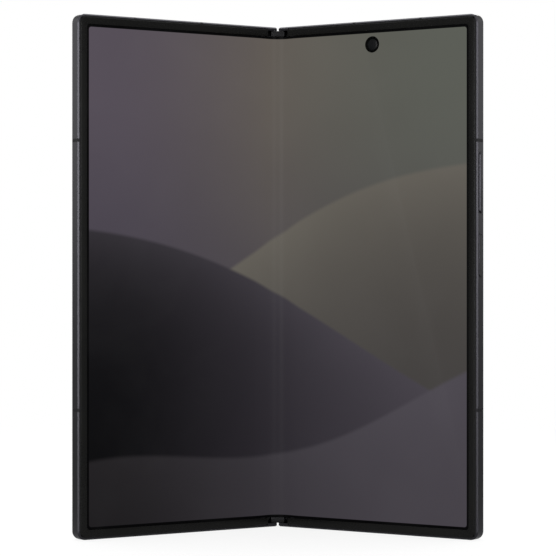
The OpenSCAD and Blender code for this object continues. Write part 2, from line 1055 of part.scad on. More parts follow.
module glass_pane() {
    layer(glass_y, thick)
        sheet(pocket_x + back_rim + slide_gap, half_w - back_rim - slide_gap, back_rim + slide_gap,
            height - back_rim - slide_gap, corner_r - back_rim - slide_gap);
}

module right_back_glass() {
    color(back_c)
        right_place()
            difference() {
                glass_pane();
                translate([island_mid_x, 0, island_mid_z])
                    layer(0, thick + 1)
                        pill(island_w - island_seat, island_len - island_seat);
            }
}

// Raised island that holds the three lenses and the flash
module camera_island() {
    fit = island_seat + 2 * fit_gap;
    color(frame_c)
        right_place()
            difference() {
                translate([island_mid_x, 0, island_mid_z]) {
                    layer(thick, thick + island_out - island_lip)
                        pill(island_w, island_len);
                    layer(thick + island_out - island_lip - join_gap, thick + island_out)
                        pill(island_w - 2 * island_lip, island_len - 2 * island_lip);
                    layer(glass_y, thick)
                        pill(island_w - fit, island_len - fit);
                }
                for (z = lens_zs)
                    rod(island_mid_x, z, ring_d / 2 - lens_ring_w, 0, thick + 5);
                rod(island_mid_x, flash_z, flash_r, 0, thick + 5);
            }
}

module lens_rings() {
    color(steel_c)
        right_place()
            for (z = lens_zs)
                difference() {
                    rod(island_mid_x, z, ring_d / 2, thick + island_out, thick + island_out + lens_ring_out);
                    rod(island_mid_x, z, ring_d / 2 - lens_ring_w, 0, thick + 9);
                }
}

module lens_windows() {
    color(black_c)
        right_place()
            for (z = lens_zs)
                rod(island_mid_x, z, ring_d / 2 - lens_ring_w - fit_gap,
                    thick + island_out - lens_window_t / 2, thick + island_out + lens_window_t / 2);
}

module flash_window() {
    color([0.85, 0.8, 0.65])
        right_place()
            rod(island_mid_x, flash_z, flash_r - fit_gap, thick + island_out - slide_gap - flash_t,
                thick + island_out - slide_gap);
}

module rear_camera_modules() {
    color([0.12, 0.12, 0.13])
        right_place()
            for (z = lens_zs)
                difference() {
                    union() {
                        box(island_mid_x - camera_house / 2, island_mid_x + camera_house / 2,
                            part_y, part_back - inner_gap, z - camera_house / 2, z + camera_house / 2);
                        rod(island_mid_x, z, barrel_r, part_y, thick + island_out - barrel_stop);
                    }
                    rod(island_mid_x, z, barrel_r - barrel_wall,
                        thick + island_out - barrel_stop - barrel_bore, thick + 9);
                }
}

// Volume rocker, which tips about a thin rib that rests on the inside of the wall
module volume_rocker() {
    flange_x = half_w - wall - rocker_stop;
    rib_y = key_w / 2 + key_flange / 4;
    color(frame_c)
        right_place() {
            key_bar(rocker_z, rocker_len, key_w, flange_x - key_flange_t, half_w + rocker_out);
            key_bar(rocker_z, rocker_len + key_flange, key_w + key_flange, flange_x - key_flange_t, flange_x);
            for (s = [-1, 1])
                translate([half_w - wall - rocker_pin_r - fit_gap, key_y + s * rib_y, rocker_z]) {
                    rotate([90, 0, 0])
                        cylinder(r = rocker_pin_r, h = key_flange / 2 - 2 * join_gap, center = true);
                    translate([-rocker_stop / 2, 0, 0])
                        cube([rocker_stop, key_flange / 2 - 2 * join_gap, rocker_pin_r], center = true);
                }
        }
}

module side_key() {
    flange_x = half_w - wall - slide_gap;
    color(frame_c)
        right_place()
            difference() {
                union() {
                    key_bar(key_z, key_len, key_w, flange_x - key_flange_t, half_w + key_out);
                    key_bar(key_z, key_len + key_flange, key_w + key_flange,
                        flange_x - key_flange_t, flange_x);
                }
                key_bar(key_z, key_len - 2 * pad_in, key_w - pad_in, half_w + key_out - pad_t, half_w + 2);
            }
}

module fingerprint_pad() {
    color([0.14, 0.14, 0.16])
        right_place()
            key_bar(key_z, key_len - 2 * pad_in - 2 * fit_gap, key_w - pad_in - 2 * fit_gap,
                half_w + key_out - pad_t, half_w + key_out - pad_sink);
}

// Two switches behind the ends of the rocker and one behind the side key, on one flexible strip
module key_switches() {
    rocker_face = half_w - wall - rocker_stop - key_flange_t - press;
    key_face = half_w - wall - slide_gap - key_flange_t - press;
    strip_x = rocker_face - switch_t;
    end_z = rocker_len * 0.38;
    color(steel_c)
        right_place() {
            for (s = [-1, 1])
                box(strip_x, rocker_face - slide_gap, key_y - switch_w / 2, key_y + switch_w / 2,
                    rocker_z + s * end_z - switch_len / 2, rocker_z + s * end_z + switch_len / 2);
            box(strip_x, key_face - slide_gap, key_y - switch_w / 2, key_y + switch_w / 2,
                key_z - switch_len / 2, key_z + switch_len / 2);
            box(strip_x - switch_strip_t, strip_x, key_y - switch_w / 2 - inner_gap,
                key_y + switch_w / 2 + inner_gap,
                key_z - key_len / 2, rocker_z + rocker_len / 2);
        }
}

module main_battery() {
    color(cell_c)
        right_place()
            layer(part_y, part_y + battery_t)
                translate([inner_x0, lower_room])
                    square([battery_w, battery_h]);
}

module logic_board() {
    color(board_c)
        right_place()
            layer(part_y, part_y + board_t)
                difference() {
                    translate([inner_x0, board_z0])
                        square([board_w, board_h]);
                    for (c = [[inner_x0 + can_in, board_z0 + can_in], [board_x1 - can_in, board_z1 - can_in]])
                        translate(c)
                            circle(board_hole_r);
                }
}

module shield_cans() {
    color(steel_c)
        right_place()
            layer(part_y + board_t, part_y + board_t + can_t) {
                translate([inner_x0 + 2 * can_in, board_z0 + can_in])
                    square([board_w - 3 * can_in, can_low_h]);
                translate([inner_x0 + can_in, board_z0 + 2 * can_in + can_low_h])
                    square([board_w - 3 * can_in, can_high_h]);
            }
}

module coil_shield() {
    color([0.2, 0.2, 0.2])
        right_place()
            layer(part_y + battery_t + slide_gap, part_y + battery_t + slide_gap + shield_t)
                translate([coil_x - shield_w / 2, coil_z - shield_w / 2])
                    square(shield_w);
}

module charging_coil() {
    coil_y = part_y + battery_t + slide_gap + shield_t + join_gap;
    color(copper_c)
        right_place()
            layer(coil_y, coil_y + coil_t)
                translate([coil_x, coil_z])
                    difference() {
                        circle(coil_r);
                        circle(coil_hole_r);
                    }
}

// Tube of the charging socket, grown by g on every side
module socket_body(g, z0) {
    translate([port_x, port_y, z0])
        linear_extrude(port_depth - z0)
            rotate(90)
                pill(port_h + 2 * g, port_w + 2 * g);
}

module charging_socket() {
    color(steel_c)
        right_place()
            difference() {
                socket_body(port_shell, port_inset);
                translate([port_x, port_y, 0])
                    linear_extrude(port_depth - port_back)
                        rotate(90)
                            pill(port_h, port_w);
            }
}

module socket_tongue() {
    color(black_c)
        right_place()
            box(port_x - port_tongue_w / 2, port_x + port_tongue_w / 2, port_y - port_tongue_t / 2,
                port_y + port_tongue_t / 2, port_back, port_depth - port_back);
}

module loudspeaker() {
    color(black_c)
        right_place()
            layer(part_y, part_back - inner_gap)
                translate([speaker_box_x, wall + inner_gap])
                    square([speaker_box_w, speaker_box_h]);
}

module vibration_motor() {
    color(steel_c)
        right_place()
            rod(motor_x, motor_z, motor_r, part_y, part_back - inner_gap);
}

// Magnet that holds the closed halves together
module magnet() {
    box(half_w - wall - inner_gap - magnet_w, half_w - wall - inner_gap, part_y, part_y + magnet_t,
        magnet_z, magnet_z + magnet_len);
}

module right_magnet() {
    color(steel_c)
        right_place()
            magnet();
}

// Flat cable between the logic board and the charging socket
module power_ribbon() {
    color([0.45, 0.3, 0.12])
        right_place()
            layer(part_y, part_y + ribbon_t) {
                translate([ribbon_x, ribbon_z])
                    square([ribbon_w, board_z0 - ribbon_z + part_gap]);
                translate([port_x, ribbon_z])
                    square([ribbon_x - port_x + ribbon_w, ribbon_w]);
                translate([port_x, port_depth + inner_gap])
                    square([ribbon_foot_w, ribbon_z - port_depth]);
            }
}

// ---------------------------------------------------------------- left half

module cover_glass() {
    color([0.08, 0.08, 0.09])
        left_place()
            glass_pane();
}

module cover_display() {
    color([0.03, 0.03, 0.04])
        left_place()
            layer(ledge_y - inner_gap - cover_t, ledge_y - inner_gap)
                difference() {
                    translate([rail_x + inner_gap, wall + cover_in])
                        square([half_w - wall - cover_in - rail_x, height - 2 * wall - 2 * cover_in]);
                    translate([cover_hole_x, cover_hole_z])
                        circle(cover_hole_r + inner_gap);
                }
}

module cover_camera() {
    color(black_c)
        left_place()
            rod(cover_hole_x, cover_hole_z, cover_hole_r, part_y, ledge_y);
}

// Card tray with its outer face in line with the top edge
module card_tray() {
    color(frame_c)
        left_place()
            difference() {
                box(tray_x - tray_w / 2, tray_x + tray_w / 2, tray_y - tray_t / 2, tray_y + tray_t / 2,
                    height - tray_len, height - tray_inset);
                box(tray_x - tray_w / 2 + tray_wall, tray_x + tray_w / 2 - tray_wall,
                    tray_y - tray_t / 4, tray_y + tray_t,
                    height - tray_len + tray_wall, height - wall - 2 * tray_wall);
                translate([tray_x + tray_w / 2 - 1.4 * tray_wall, tray_y, height - wall])
                    cylinder(r = pin_hole_r, h = 2 * wall);
            }
}

module card_reader() {
    color(steel_c)
        left_place()
            difference() {
                box(tray_x - tray_w / 2 - reader_wall, tray_x + tray_w / 2 + reader_wall,
                    part_y, tray_y + tray_t / 2 + reader_cover,
                    height - tray_len - reader_wall, height - wall - inner_gap);
                box(tray_x - tray_w / 2 - slide_gap, tray_x + tray_w / 2 + slide_gap,
                    tray_y - tray_t / 2 - slide_gap, tray_y + tray_t / 2 + slide_gap,
                    height - tray_len - slide_gap, height);
            }
}

module second_battery() {
    color(cell_c)
        left_place()
            layer(part_y, part_y + second_t)
                translate([inner_x0, lower_room])
                    square([second_w, second_h]);
}

module sub_board() {
    color(board_c)
        left_place()
            layer(part_y, part_y + sub_t)
                translate([inner_x0, sub_z0])
                    square([second_w - part_gap, sub_z1 - sub_z0]);
}

module earpiece() {
    color(black_c)
        left_place()
            layer(part_y, part_y + second_t)
                translate([ear_x - ear_box_w / 2, height - wall - inner_gap - ear_box_h])
                    square([ear_box_w, ear_box_h]);
}

module left_magnet() {
    color(steel_c)
        left_place()
            magnet();
}

hinge_spine();
spine_end_caps();
hinge_blocks();
gear_covers();
block_screws();
gear_pins();
display_fold();
right_pinions();
left_pinions();
right_idlers();
left_idlers();
right_frame();
right_antenna_breaks();
right_bezel();
display_right();
right_arms();
right_arm_screws();
right_support_plate();
inner_camera();
inner_camera_lens();
right_back_glass();
camera_island();
lens_rings();
lens_windows();
flash_window();
rear_camera_modules();
volume_rocker();
side_key();
fingerprint_pad();
key_switches();
main_battery();
logic_board();
shield_cans();
coil_shield();
charging_coil();
charging_socket();
socket_tongue();
loudspeaker();
vibration_motor();
right_magnet();
power_ribbon();
left_frame();
left_antenna_breaks();
left_bezel();
display_left();
left_arms();
left_arm_screws();
left_support_plate();
cover_glass();
cover_display();
cover_camera();
card_tray();
card_reader();
second_battery();
sub_board();
earpiece();
left_magnet();
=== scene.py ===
"""Looks of a folding phone that stands half opened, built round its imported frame.

Lengths are in millimetres times MM, so that every piece is in metres. Each half is modelled
in its own flat frame, as in the part: x outwards from the fold line, y the depth behind the
screen face, z up. seat() then turns the piece into place with its half.
"""
import json
import math

import bmesh
import bpy
from mathutils import Matrix, Vector


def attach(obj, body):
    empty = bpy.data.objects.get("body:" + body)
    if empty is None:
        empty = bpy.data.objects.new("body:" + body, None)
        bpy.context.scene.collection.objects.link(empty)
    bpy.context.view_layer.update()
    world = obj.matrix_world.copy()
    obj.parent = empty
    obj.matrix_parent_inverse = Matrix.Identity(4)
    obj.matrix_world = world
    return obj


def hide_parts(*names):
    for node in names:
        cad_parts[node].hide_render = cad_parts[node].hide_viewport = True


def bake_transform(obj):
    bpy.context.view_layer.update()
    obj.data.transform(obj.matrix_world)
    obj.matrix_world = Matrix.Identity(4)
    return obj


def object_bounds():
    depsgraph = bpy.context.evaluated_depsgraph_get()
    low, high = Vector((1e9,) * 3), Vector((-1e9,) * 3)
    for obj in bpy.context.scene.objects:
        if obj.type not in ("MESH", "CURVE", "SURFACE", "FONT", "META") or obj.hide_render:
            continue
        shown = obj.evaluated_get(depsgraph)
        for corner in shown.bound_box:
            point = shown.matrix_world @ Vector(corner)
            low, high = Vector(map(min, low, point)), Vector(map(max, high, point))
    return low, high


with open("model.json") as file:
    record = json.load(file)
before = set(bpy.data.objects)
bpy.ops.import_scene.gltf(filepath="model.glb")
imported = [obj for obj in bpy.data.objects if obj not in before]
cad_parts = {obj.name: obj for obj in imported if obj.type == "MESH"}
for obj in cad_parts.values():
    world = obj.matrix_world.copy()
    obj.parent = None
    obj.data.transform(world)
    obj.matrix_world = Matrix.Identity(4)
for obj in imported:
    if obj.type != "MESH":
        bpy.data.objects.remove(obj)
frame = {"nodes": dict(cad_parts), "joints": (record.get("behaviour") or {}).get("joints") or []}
cad_low, cad_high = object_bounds()
bpy.ops.object.select_all(action="DESELECT")

MM = 0.001
RIGHT = 1
LEFT = -1
SIDE_NAME = {RIGHT: "right", LEFT: "left"}

# Sizes of the phone, the same as in the part where the part has them
HEIGHT = cad_high.z - cad_low.z
HALF_W = 71.6 * MM
THICK = 4.2 * MM
CORNER_R = 2.6 * MM
RIM = 0.5 * MM
FIT = 0.03 * MM
BEZEL_W = 2.1 * MM
BEZEL_GAP = 0.4 * MM
BEZEL_H = 0.2 * MM
BEZEL_END = 4.2 * MM
SCREEN_T = 0.5 * MM
KEY_FACE_OUT = 0.3 * MM
ISLAND_X = 61 * MM
ISLAND_OUT = 1.7 * MM
LENS_ZS = [HEIGHT - z * MM for z in (13.2, 24.8, 36.4)]
RING_R = 4.8 * MM
RING_W = 0.8 * MM
LENS_CLEAR_R = 2.9 * MM
BARREL_DEPTH = 1.6 * MM
FLASH_Z = HEIGHT - 46 * MM
FLASH_R = 1.6 * MM
FLASH_T = 0.75 * MM
FLASH_RINGS = 6
FLASH_RING_PITCH = 0.22 * MM
COVER_HOLE_X = HALF_W * 0.53
COVER_HOLE_Z = HEIGHT - 8 * MM
COVER_HOLE_R = 2.1 * MM
COVER_LENS_R = 1.2 * MM
COVER_DISPLAY_X = (9.7 * MM, HALF_W - 2.4 * MM)
COVER_BORDER = 2.4 * MM
COVER_CORNER = 2 * MM
PRINT_EDGE = 0.1 * MM
WINDOW_EDGE = 0.08 * MM
HOLE_R = 2.55 * MM
HOLE_X = 35 * MM
HOLE_Z = HEIGHT - 7.3 * MM
STRIP_T = 0.33 * MM
STRIP_END = 9 * MM
STRIP_TILT = math.radians(8.5)
STRIP_SAG = 0.2 * MM
STRIP_IN = 3.1 * MM
AXIS_DEPTH = 1.2 * MM

# Black border and seal round the picture on the screen
BORDER_SIDE = 3.69 * MM
BORDER_END = 3.8 * MM
PICTURE_CORNER = 0.8 * MM
PICTURE_BLUR = 0.06 * MM
SEAL_W = 0.2 * MM

# Modelling: distance at which points merge, least share along x in the normal of a face that
# looks sideways, and the angle up to which spun faces and the strip are shaded smooth
WELD = 1e-7
FACING = 0.9
SMOOTH_ANGLE = math.radians(35)

# Camera: the side of the image, the focal length and the shift in pixels, the sensor in millimetres
IMAGE_SIDE = 556
SENSOR = 36
CAMERA_FOCAL = 2193.5
CAMERA_SHIFT = (0.2, -1.07)
CAMERA_BACK = 679.5 * MM

# Softboxes: place in metres, width and height in metres, power in watts
SOFTBOXES = {
    "front_left": ((-0.42, -0.9, 0.18), 0.36, 0.36, 3.5),
    "front_right": ((0.42, -0.9, 0.18), 0.36, 0.36, 2.3),
    "top": ((0, 0.25, 0.95), 1.3, 0.8, 7.3),
    "arc_left": ((-0.32, -0.62, 0.72), 0.25, 0.7, 1.1),
    "arc_right": ((0.32, -0.62, 0.72), 0.25, 0.7, 1.1),
    "back": ((0, 0.95, 0.45), 0.5, 0.5, 3.0),
    "side_left": ((-0.62, 0.28, 0.30), 0.42, 0.42, 0.38),
    "side_right": ((0.62, 0.28, 0.30), 0.42, 0.42, 0.32),
}

# Light of the surroundings on the phone, and how bright they and the floor show in its reflections
WORLD_LIGHT = 0.52
WORLD_REFLECTED = 0.30
FLOOR_REFLECTED = 0.24
FLOOR_NEAR_EXTRA = 0.16

# Share of real shadow on the floor near the phone. The distances are from the middle of the floor:
# where the extra light begins and is whole, and where the shadow begins to fade and is gone
FLOOR_SHADOW = 0.18
FLOOR_NEAR = (0.14, 0.07)
FLOOR_FADE = (0.12, 0.5)

# Fold axis of the right half and the fold at rest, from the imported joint
fold_joint = next(j for j in frame["joints"] if j["name"] == "right_fold")
AXIS = Vector(fold_joint["pos_m"])
FOLD = -math.radians(fold_joint["range_deg"][0])


# ---------------------------------------------------------------- placing

def half_matrix(side):
    """From the flat frame of one half to the phone's own frame."""
    turned = (
        Matrix.Translation((AXIS.x, AXIS.y, 0))
        @ Matrix.Rotation(-FOLD, 4, "Z")
        @ Matrix.Translation((-AXIS.x, -AXIS_DEPTH, 0))
    )
    return turned if side == RIGHT else Matrix.Scale(-1, 4, (1, 0, 0)) @ turned


def only(obj):
    """Makes obj the one selected and active object."""
    bpy.ops.object.select_all(action="DESELECT")
    obj.select_set(True)
    bpy.context.view_layer.objects.active = obj


def seat(obj, side):
    """Turns a piece from the flat frame of a half into place and leaves its object at the origin."""
    obj.matrix_world = half_matrix(side) @ obj.matrix_world
    rest_at_origin(obj)
    if side == LEFT:
        face_outwards(obj)


def rest_at_origin(obj):
    obj.data.transform(obj.matrix_world)
    obj.matrix_world = Matrix.Identity(4)


def face_outwards(obj):
    only(obj)
    bpy.ops.object.mode_set(mode="EDIT")
    bpy.ops.mesh.select_all(action="SELECT")
    bpy.ops.mesh.normals_make_consistent(inside=False)
    bpy.ops.object.mode_set(mode="OBJECT")


def dress(obj, body, slot, material, *nodes):
    """Gives a finished piece its material and its body, and hides the nodes it stands for. slot is not used.
    """
    obj.data.materials.clear()
    obj.data.materials.append(material)
    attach(obj, body)
    if nodes:
        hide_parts(*nodes)


# ---------------------------------------------------------------- modelling

def pick(obj, kind, test):
    """Selects in edit mode the faces, edges or verts of obj that pass the test, and nothing else."""
    mesh = bmesh.from_edit_mesh(obj.data)
    for group in (mesh.faces, mesh.edges, mesh.verts):
        for item in group:
            item.select = False
    mode = {"verts": (True, False, False), "edges": (False, True, False), "faces": (False, False, True)}
    bpy.context.tool_settings.mesh_select_mode = mode[kind]
    for item in getattr(mesh, kind):
        if test(item):
            item.select_set(True)
    mesh.select_flush_mode()
    bmesh.update_edit_mesh(obj.data)


def block(name, x0, x1, y0, y1, z0, z1):
    """A cube primitive that fills the given space."""
    bpy.ops.mesh.primitive_cube_add(size=1, location=((x0 + x1) / 2, (y0 + y1) / 2, (z0 + z1) / 2))
    obj = bpy.context.active_object
    obj.name = name
    obj.scale = (x1 - x0, y1 - y0, z1 - z0)
    bpy.ops.object.transform_apply(location=True, rotation=True, scale=True)
    return obj


def rod(name, x, z, radius, y0, y1, sides=64):
    """A cylinder primitive along the depth."""
    bpy.ops.mesh.primitive_cylinder_add(
        vertices=sides, radius=radius, depth=y1 - y0, location=(x, (y0 + y1) / 2, z),
        rotation=(math.pi / 2, 0, 0))
    obj = bpy.context.active_object
    obj.name = name
    bpy.ops.object.transform_apply(location=True, rotation=True, scale=True)
    return obj


def is_depth_edge(edge):
    a, b = (v.co for v in edge.verts)
    return abs(a.x - b.x) < WELD and abs(a.z - b.z) < WELD


def round_corners(obj, radius, x_least, segments=10):
    """Rounds the edges along the depth that lie beyond x_least."""
    only(obj)
    bpy.ops.object.mode_set(mode="EDIT")
    pick(obj, "edges", lambda e: is_depth_edge(e) and e.verts[0].co.x > x_least)
    bpy.ops.mesh.bevel(offset=radius, offset_type="OFFSET", segments=segments, affect="EDGES")
    bpy.ops.object.mode_set(mode="OBJECT")


def apply_all(obj):
    only(obj)
    for modifier in list(obj.modifiers):
        bpy.ops.object.modifier_apply(modifier=modifier.name)


def cut(obj, tool):
    """Takes the tool's shape out of obj and deletes the tool."""
    modifier = obj.modifiers.new("cut", "BOOLEAN")
    modifier.operation = "DIFFERENCE"
    modifier.solver = "EXACT"
    modifier.object = tool
    apply_all(obj)
    bpy.data.objects.remove(tool)


def soften(obj, width, segments=3, angle=30):
    """Rounds every sharp edge and shades the piece smooth."""
    modifier = obj.modifiers.new("soft_edges", "BEVEL")
    modifier.width = width
    modifier.segments = segments
    modifier.limit_method = "ANGLE"
    modifier.angle_limit = math.radians(angle)
    modifier.use_clamp_overlap = True
    apply_all(obj)
    bpy.ops.object.shade_smooth_by_angle(angle=math.radians(angle))


def spin_profile(name, points, x, z, steps=64):
    """Turns a profile of (radius, depth) points about the line along the depth at x, z."""
    bpy.ops.mesh.primitive_plane_add(size=1, location=(0, 0, 0))
    obj = bpy.context.active_object
    obj.name = name
    bpy.ops.object.mode_set(mode="EDIT")
    bpy.ops.mesh.select_all(action="SELECT")
    bpy.ops.mesh.delete(type="VERT")
    mesh = bmesh.from_edit_mesh(obj.data)
    verts = [mesh.verts.new((x + r, y, z)) for r, y in points]
    for a, b in zip(verts, verts[1:]):
        mesh.edges.new((a, b))
    bmesh.update_edit_mesh(obj.data)
    bpy.ops.mesh.select_all(action="SELECT")
    bpy.ops.mesh.spin(steps=steps, angle=2 * math.pi, center=(x, 0, z), axis=(0, 1, 0))
    bpy.ops.mesh.select_all(action="SELECT")
    bpy.ops.mesh.remove_doubles(threshold=WELD)
    bpy.ops.mesh.normals_make_consistent(inside=False)
    bpy.ops.object.mode_set(mode="OBJECT")
    bpy.ops.object.shade_smooth_by_angle(angle=SMOOTH_ANGLE)
    return obj


def copy_of(node, name):
    """A merged copy of a node's mesh, with its flat faces made whole again."""
    obj = bpy.data.objects.new(name, frame["nodes"][node].data.copy())
    bpy.context.scene.collection.objects.link(obj)
    only(obj)
    bpy.ops.object.mode_set(mode="EDIT")
    bpy.ops.mesh.select_all(action="SELECT")
    bpy.ops.mesh.remove_doubles(threshold=WELD)
    bpy.ops.mesh.select_all(action="SELECT")
    bpy.ops.mesh.dissolve_limited(angle_limit=math.radians(0.5))
    bpy.ops.object.mode_set(mode="OBJECT")
    return obj


# ---------------------------------------------------------------- shader nodes

def tone(red, green, blue):
    """A colour given as on a screen, 0 to 255, as linear light."""
    def linear(value):
        value /= 255
        return value / 12.92 if value <= 0.04045 else ((value + 0.055) / 1.055) ** 2.4
    return (linear(red), linear(green), linear(blue), 1)


def add_node(tree, kind, inputs=None, **settings):
    """A node with its settings, its values and its links in one call."""
    made = tree.nodes.new(kind)
    for name, value in settings.items():
        setattr(made, name, value)
    for key, value in (inputs or {}).items():
        if isinstance(value, bpy.types.NodeSocket):
            tree.links.new(value, made.inputs[key])
        else:
            made.inputs[key].default_value = value
    return made


def maths(tree, operation, a, b=0.0, c=0.0, clamp=False):
    made = add_node(tree, "ShaderNodeMath", {0: a, 1: b, 2: c}, operation=operation, use_clamp=clamp)
    return made.outputs[0]


def blend_colour(tree, share, a, b):
    """Colour a at a share of 0 and colour b at a share of 1."""
    made = add_node(tree, "ShaderNodeMix", {0: share, 6: a, 7: b}, data_type="RGBA")
    return made.outputs[2]


def step_between(tree, value, low, high):
    """0 at low and 1 at high, smooth between them and level beyond them."""
    return add_node(tree, "ShaderNodeMapRange", {0: value, 1: low, 2: high, 3: 0.0, 4: 1.0},
                    interpolation_type="SMOOTHSTEP").outputs[0]


def scale_between(tree, share, least, most):
    """A value from least at a share of 0 to most at a share of 1."""
    return add_node(tree, "ShaderNodeMapRange", {0: share, 1: 0.0, 2: 1.0, 3: least, 4: most}).outputs[0]


def noise(tree, place, scale, detail, **values):
    """Noise of about 0 to 1 with its middle at 0.5."""
    inputs = {"Vector": place, "Scale": scale, "Detail": detail}
    inputs.update(values)
    return add_node(tree, "ShaderNodeTexNoise", inputs).outputs["Fac"]


def new_group(name, inputs, outputs):
    """A node group with named sockets: inputs as (name, kind, value), outputs as (name, kind)."""
    group = bpy.data.node_groups.new(name, "ShaderNodeTree")
    for label, kind, value in inputs:
        socket = group.interface.new_socket(label, in_out="INPUT", socket_type=kind)
        if value is not None:
            socket.default_value = value
    for label, kind in outputs:
        group.interface.new_socket(label, in_out="OUTPUT", socket_type=kind)
    return group, group.nodes.new("NodeGroupInput").outputs, group.nodes.new("NodeGroupOutput").inputs


def place_group(tree, group, inputs):
    return add_node(tree, "ShaderNodeGroup", inputs, node_tree=group).outputs


def new_material(name, **values):
    """A material with one Principled BSDF. values are set on its own sockets."""
    made = bpy.data.materials.new(name)
    made.use_nodes = True
    tree = made.node_tree
    tree.nodes.clear()
    out = tree.nodes.new("ShaderNodeOutputMaterial")
    shader = tree.nodes.new("ShaderNodeBsdfPrincipled")
    tree.links.new(shader.outputs[0], out.inputs[0])
    for label, value in values.items():
        shader.inputs[label.replace("_", " ")].default_value = value
    return made, tree, shader


def object_place(tree):
    return add_node(tree, "ShaderNodeTexCoord").outputs["Object"]


def half_place(tree, side):
    """Object coordinates turned back into the flat frame of one half."""
    inverse = Matrix.Rotation(FOLD, 4, "Z")
    shift = Vector((AXIS.x, AXIS_DEPTH, 0)) - inverse @ Vector((AXIS.x, AXIS.y, 0))
    made = add_node(tree, "ShaderNodeMapping", {
        "Vector": object_place(tree), "Location": shift, "Rotation": (0, 0, FOLD), "Scale": (side, 1, 1)})
    return made.outputs[0]


def beyond_box(tree, places, centres, sizes):
    """Distance outside a box of the given half sizes, 0 inside it."""
    total = 0.0
    for place, centre, size in zip(places, centres, sizes):
        away = maths(tree, "ABSOLUTE", maths(tree, "SUBTRACT", place, centre))
        over = maths(tree, "MAXIMUM", maths(tree, "SUBTRACT", away, size), 0.0)
        total = maths(tree, "ADD", total, maths(tree, "POWER", over, 2.0))
    return maths(tree, "SQRT", total)


def bump(tree, height, strength, distance):
    return add_node(tree, "ShaderNodeBump", {
        "Height": height, "Strength": strength, "Distance": distance}).outputs[0]


# ---------------------------------------------------------------- shared effects

def make_fine_grain():
    """Fine grain with a slow drift of colour over the whole piece."""
    group, given, result = new_group(
        "fine_grain",
        [("Place", "NodeSocketVector", None), ("Grain Scale", "NodeSocketFloat", 4000.0),
         ("Drift Scale", "NodeSocketFloat", 30.0), ("Dark", "NodeSocketColor", (0, 0, 0, 1)),
         ("Light", "NodeSocketColor", (1, 1, 1, 1)), ("Least Rough", "NodeSocketFloat", 0.3),
         ("Most Rough", "NodeSocketFloat", 0.4)],
        [("Colour", "NodeSocketColor"), ("Roughness", "NodeSocketFloat"), ("Height", "NodeSocketFloat")])
    grain = noise(group, given["Place"], given["Grain Scale"], 2.0)
    drift = noise(group, given["Place"], given["Drift Scale"], 3.0)
    both = maths(group, "MULTIPLY_ADD", grain, 0.3, maths(group, "MULTIPLY", drift, 0.7))
    spread = step_between(group, both, 0.35, 0.65)
    group.links.new(blend_colour(group, spread, given["Dark"], given["Light"]), result["Colour"])
    rough = scale_between(group, spread, given["Least Rough"], given["Most Rough"])
    group.links.new(rough, result["Roughness"])
    group.links.new(grain, result["Height"])
    return group


def make_brushed_lines():
    """Fine lines along one direction, which the stretch squeezes together."""
    group, given, result = new_group(
        "brushed_lines",
        [("Place", "NodeSocketVector", None), ("Stretch", "NodeSocketVector", (1, 1, 1)),
         ("Dark", "NodeSocketColor", (0, 0, 0, 1)), ("Light", "NodeSocketColor", (1, 1, 1, 1)),
         ("Least Rough", "NodeSocketFloat", 0.25), ("Most Rough", "NodeSocketFloat", 0.4)],
        [("Colour", "NodeSocketColor"), ("Roughness", "NodeSocketFloat"), ("Height", "NodeSocketFloat")])
    place = add_node(group, "ShaderNodeVectorMath", {0: given["Place"], 1: given["Stretch"]},
                     operation="MULTIPLY").outputs[0]
    lines = noise(group, place, 1.0, 4.0)
    spread = step_between(group, lines, 0.3, 0.7)
    group.links.new(blend_colour(group, spread, given["Dark"], given["Light"]), result["Colour"])
    rough = scale_between(group, spread, given["Least Rough"], given["Most Rough"])
    group.links.new(rough, result["Roughness"])
    group.links.new(lines, result["Height"])
    return group


def make_finger_haze():
    """Faint smears on a polished face, as a roughness between two values."""
    group, given, result = new_group(
        "finger_haze",
        [("Place", "NodeSocketVector", None), ("Scale", "NodeSocketFloat", 60.0),
         ("Clean", "NodeSocketFloat", 0.06), ("Smeared", "NodeSocketFloat", 0.14)],
        [("Roughness", "NodeSocketFloat"), ("Mask", "NodeSocketFloat")])
    cloud = noise(group, given["Place"], given["Scale"], 5.0, Distortion=0.8)
    mask = step_between(group, cloud, 0.45, 0.75)
    rough = scale_between(group, mask, given["Clean"], given["Smeared"])
    group.links.new(rough, result["Roughness"])
    group.links.new(mask, result["Mask"])
    return group


def make_dune():
    """One soft hill of the screen picture: everything below a wavy crest line."""
    group, given, result = new_group(
        "dune",
        [("Across", "NodeSocketFloat", 0.0), ("Up", "NodeSocketFloat", 0.0),
         ("Crest", "NodeSocketFloat", 0.5), ("Slope", "NodeSocketFloat", 0.0),
         ("Swell", "NodeSocketFloat", 0.05), ("Waves", "NodeSocketFloat", 5.0),
         ("Phase", "NodeSocketFloat", 0.0), ("Edge", "NodeSocketFloat", 0.01),
         ("Reach", "NodeSocketFloat", 0.2), ("Crest Colour", "NodeSocketColor", (1, 1, 1, 1)),
         ("Foot Colour", "NodeSocketColor", (0, 0, 0, 1)), ("Behind", "NodeSocketColor", (0, 0, 0, 1))],
        [("Colour", "NodeSocketColor")])
    angle = maths(group, "MULTIPLY_ADD", given["Across"], given["Waves"], given["Phase"])
    wave = maths(group, "MULTIPLY", maths(group, "SINE", angle), given["Swell"])
    rise = maths(group, "MULTIPLY_ADD", given["Across"], given["Slope"], given["Crest"])
    depth = maths(group, "SUBTRACT", maths(group, "ADD", rise, wave), given["Up"])
    reaches = maths(group, "DIVIDE", maths(group, "MULTIPLY", depth, -1.0), given["Reach"])
    fade = maths(group, "EXPONENT", reaches, clamp=True)
    body = blend_colour(group, fade, given["Foot Colour"], given["Crest Colour"])
    mask = step_between(group, depth, 0.0, given["Edge"])
    group.links.new(blend_colour(group, mask, given["Behind"], body), result["Colour"])
    return group


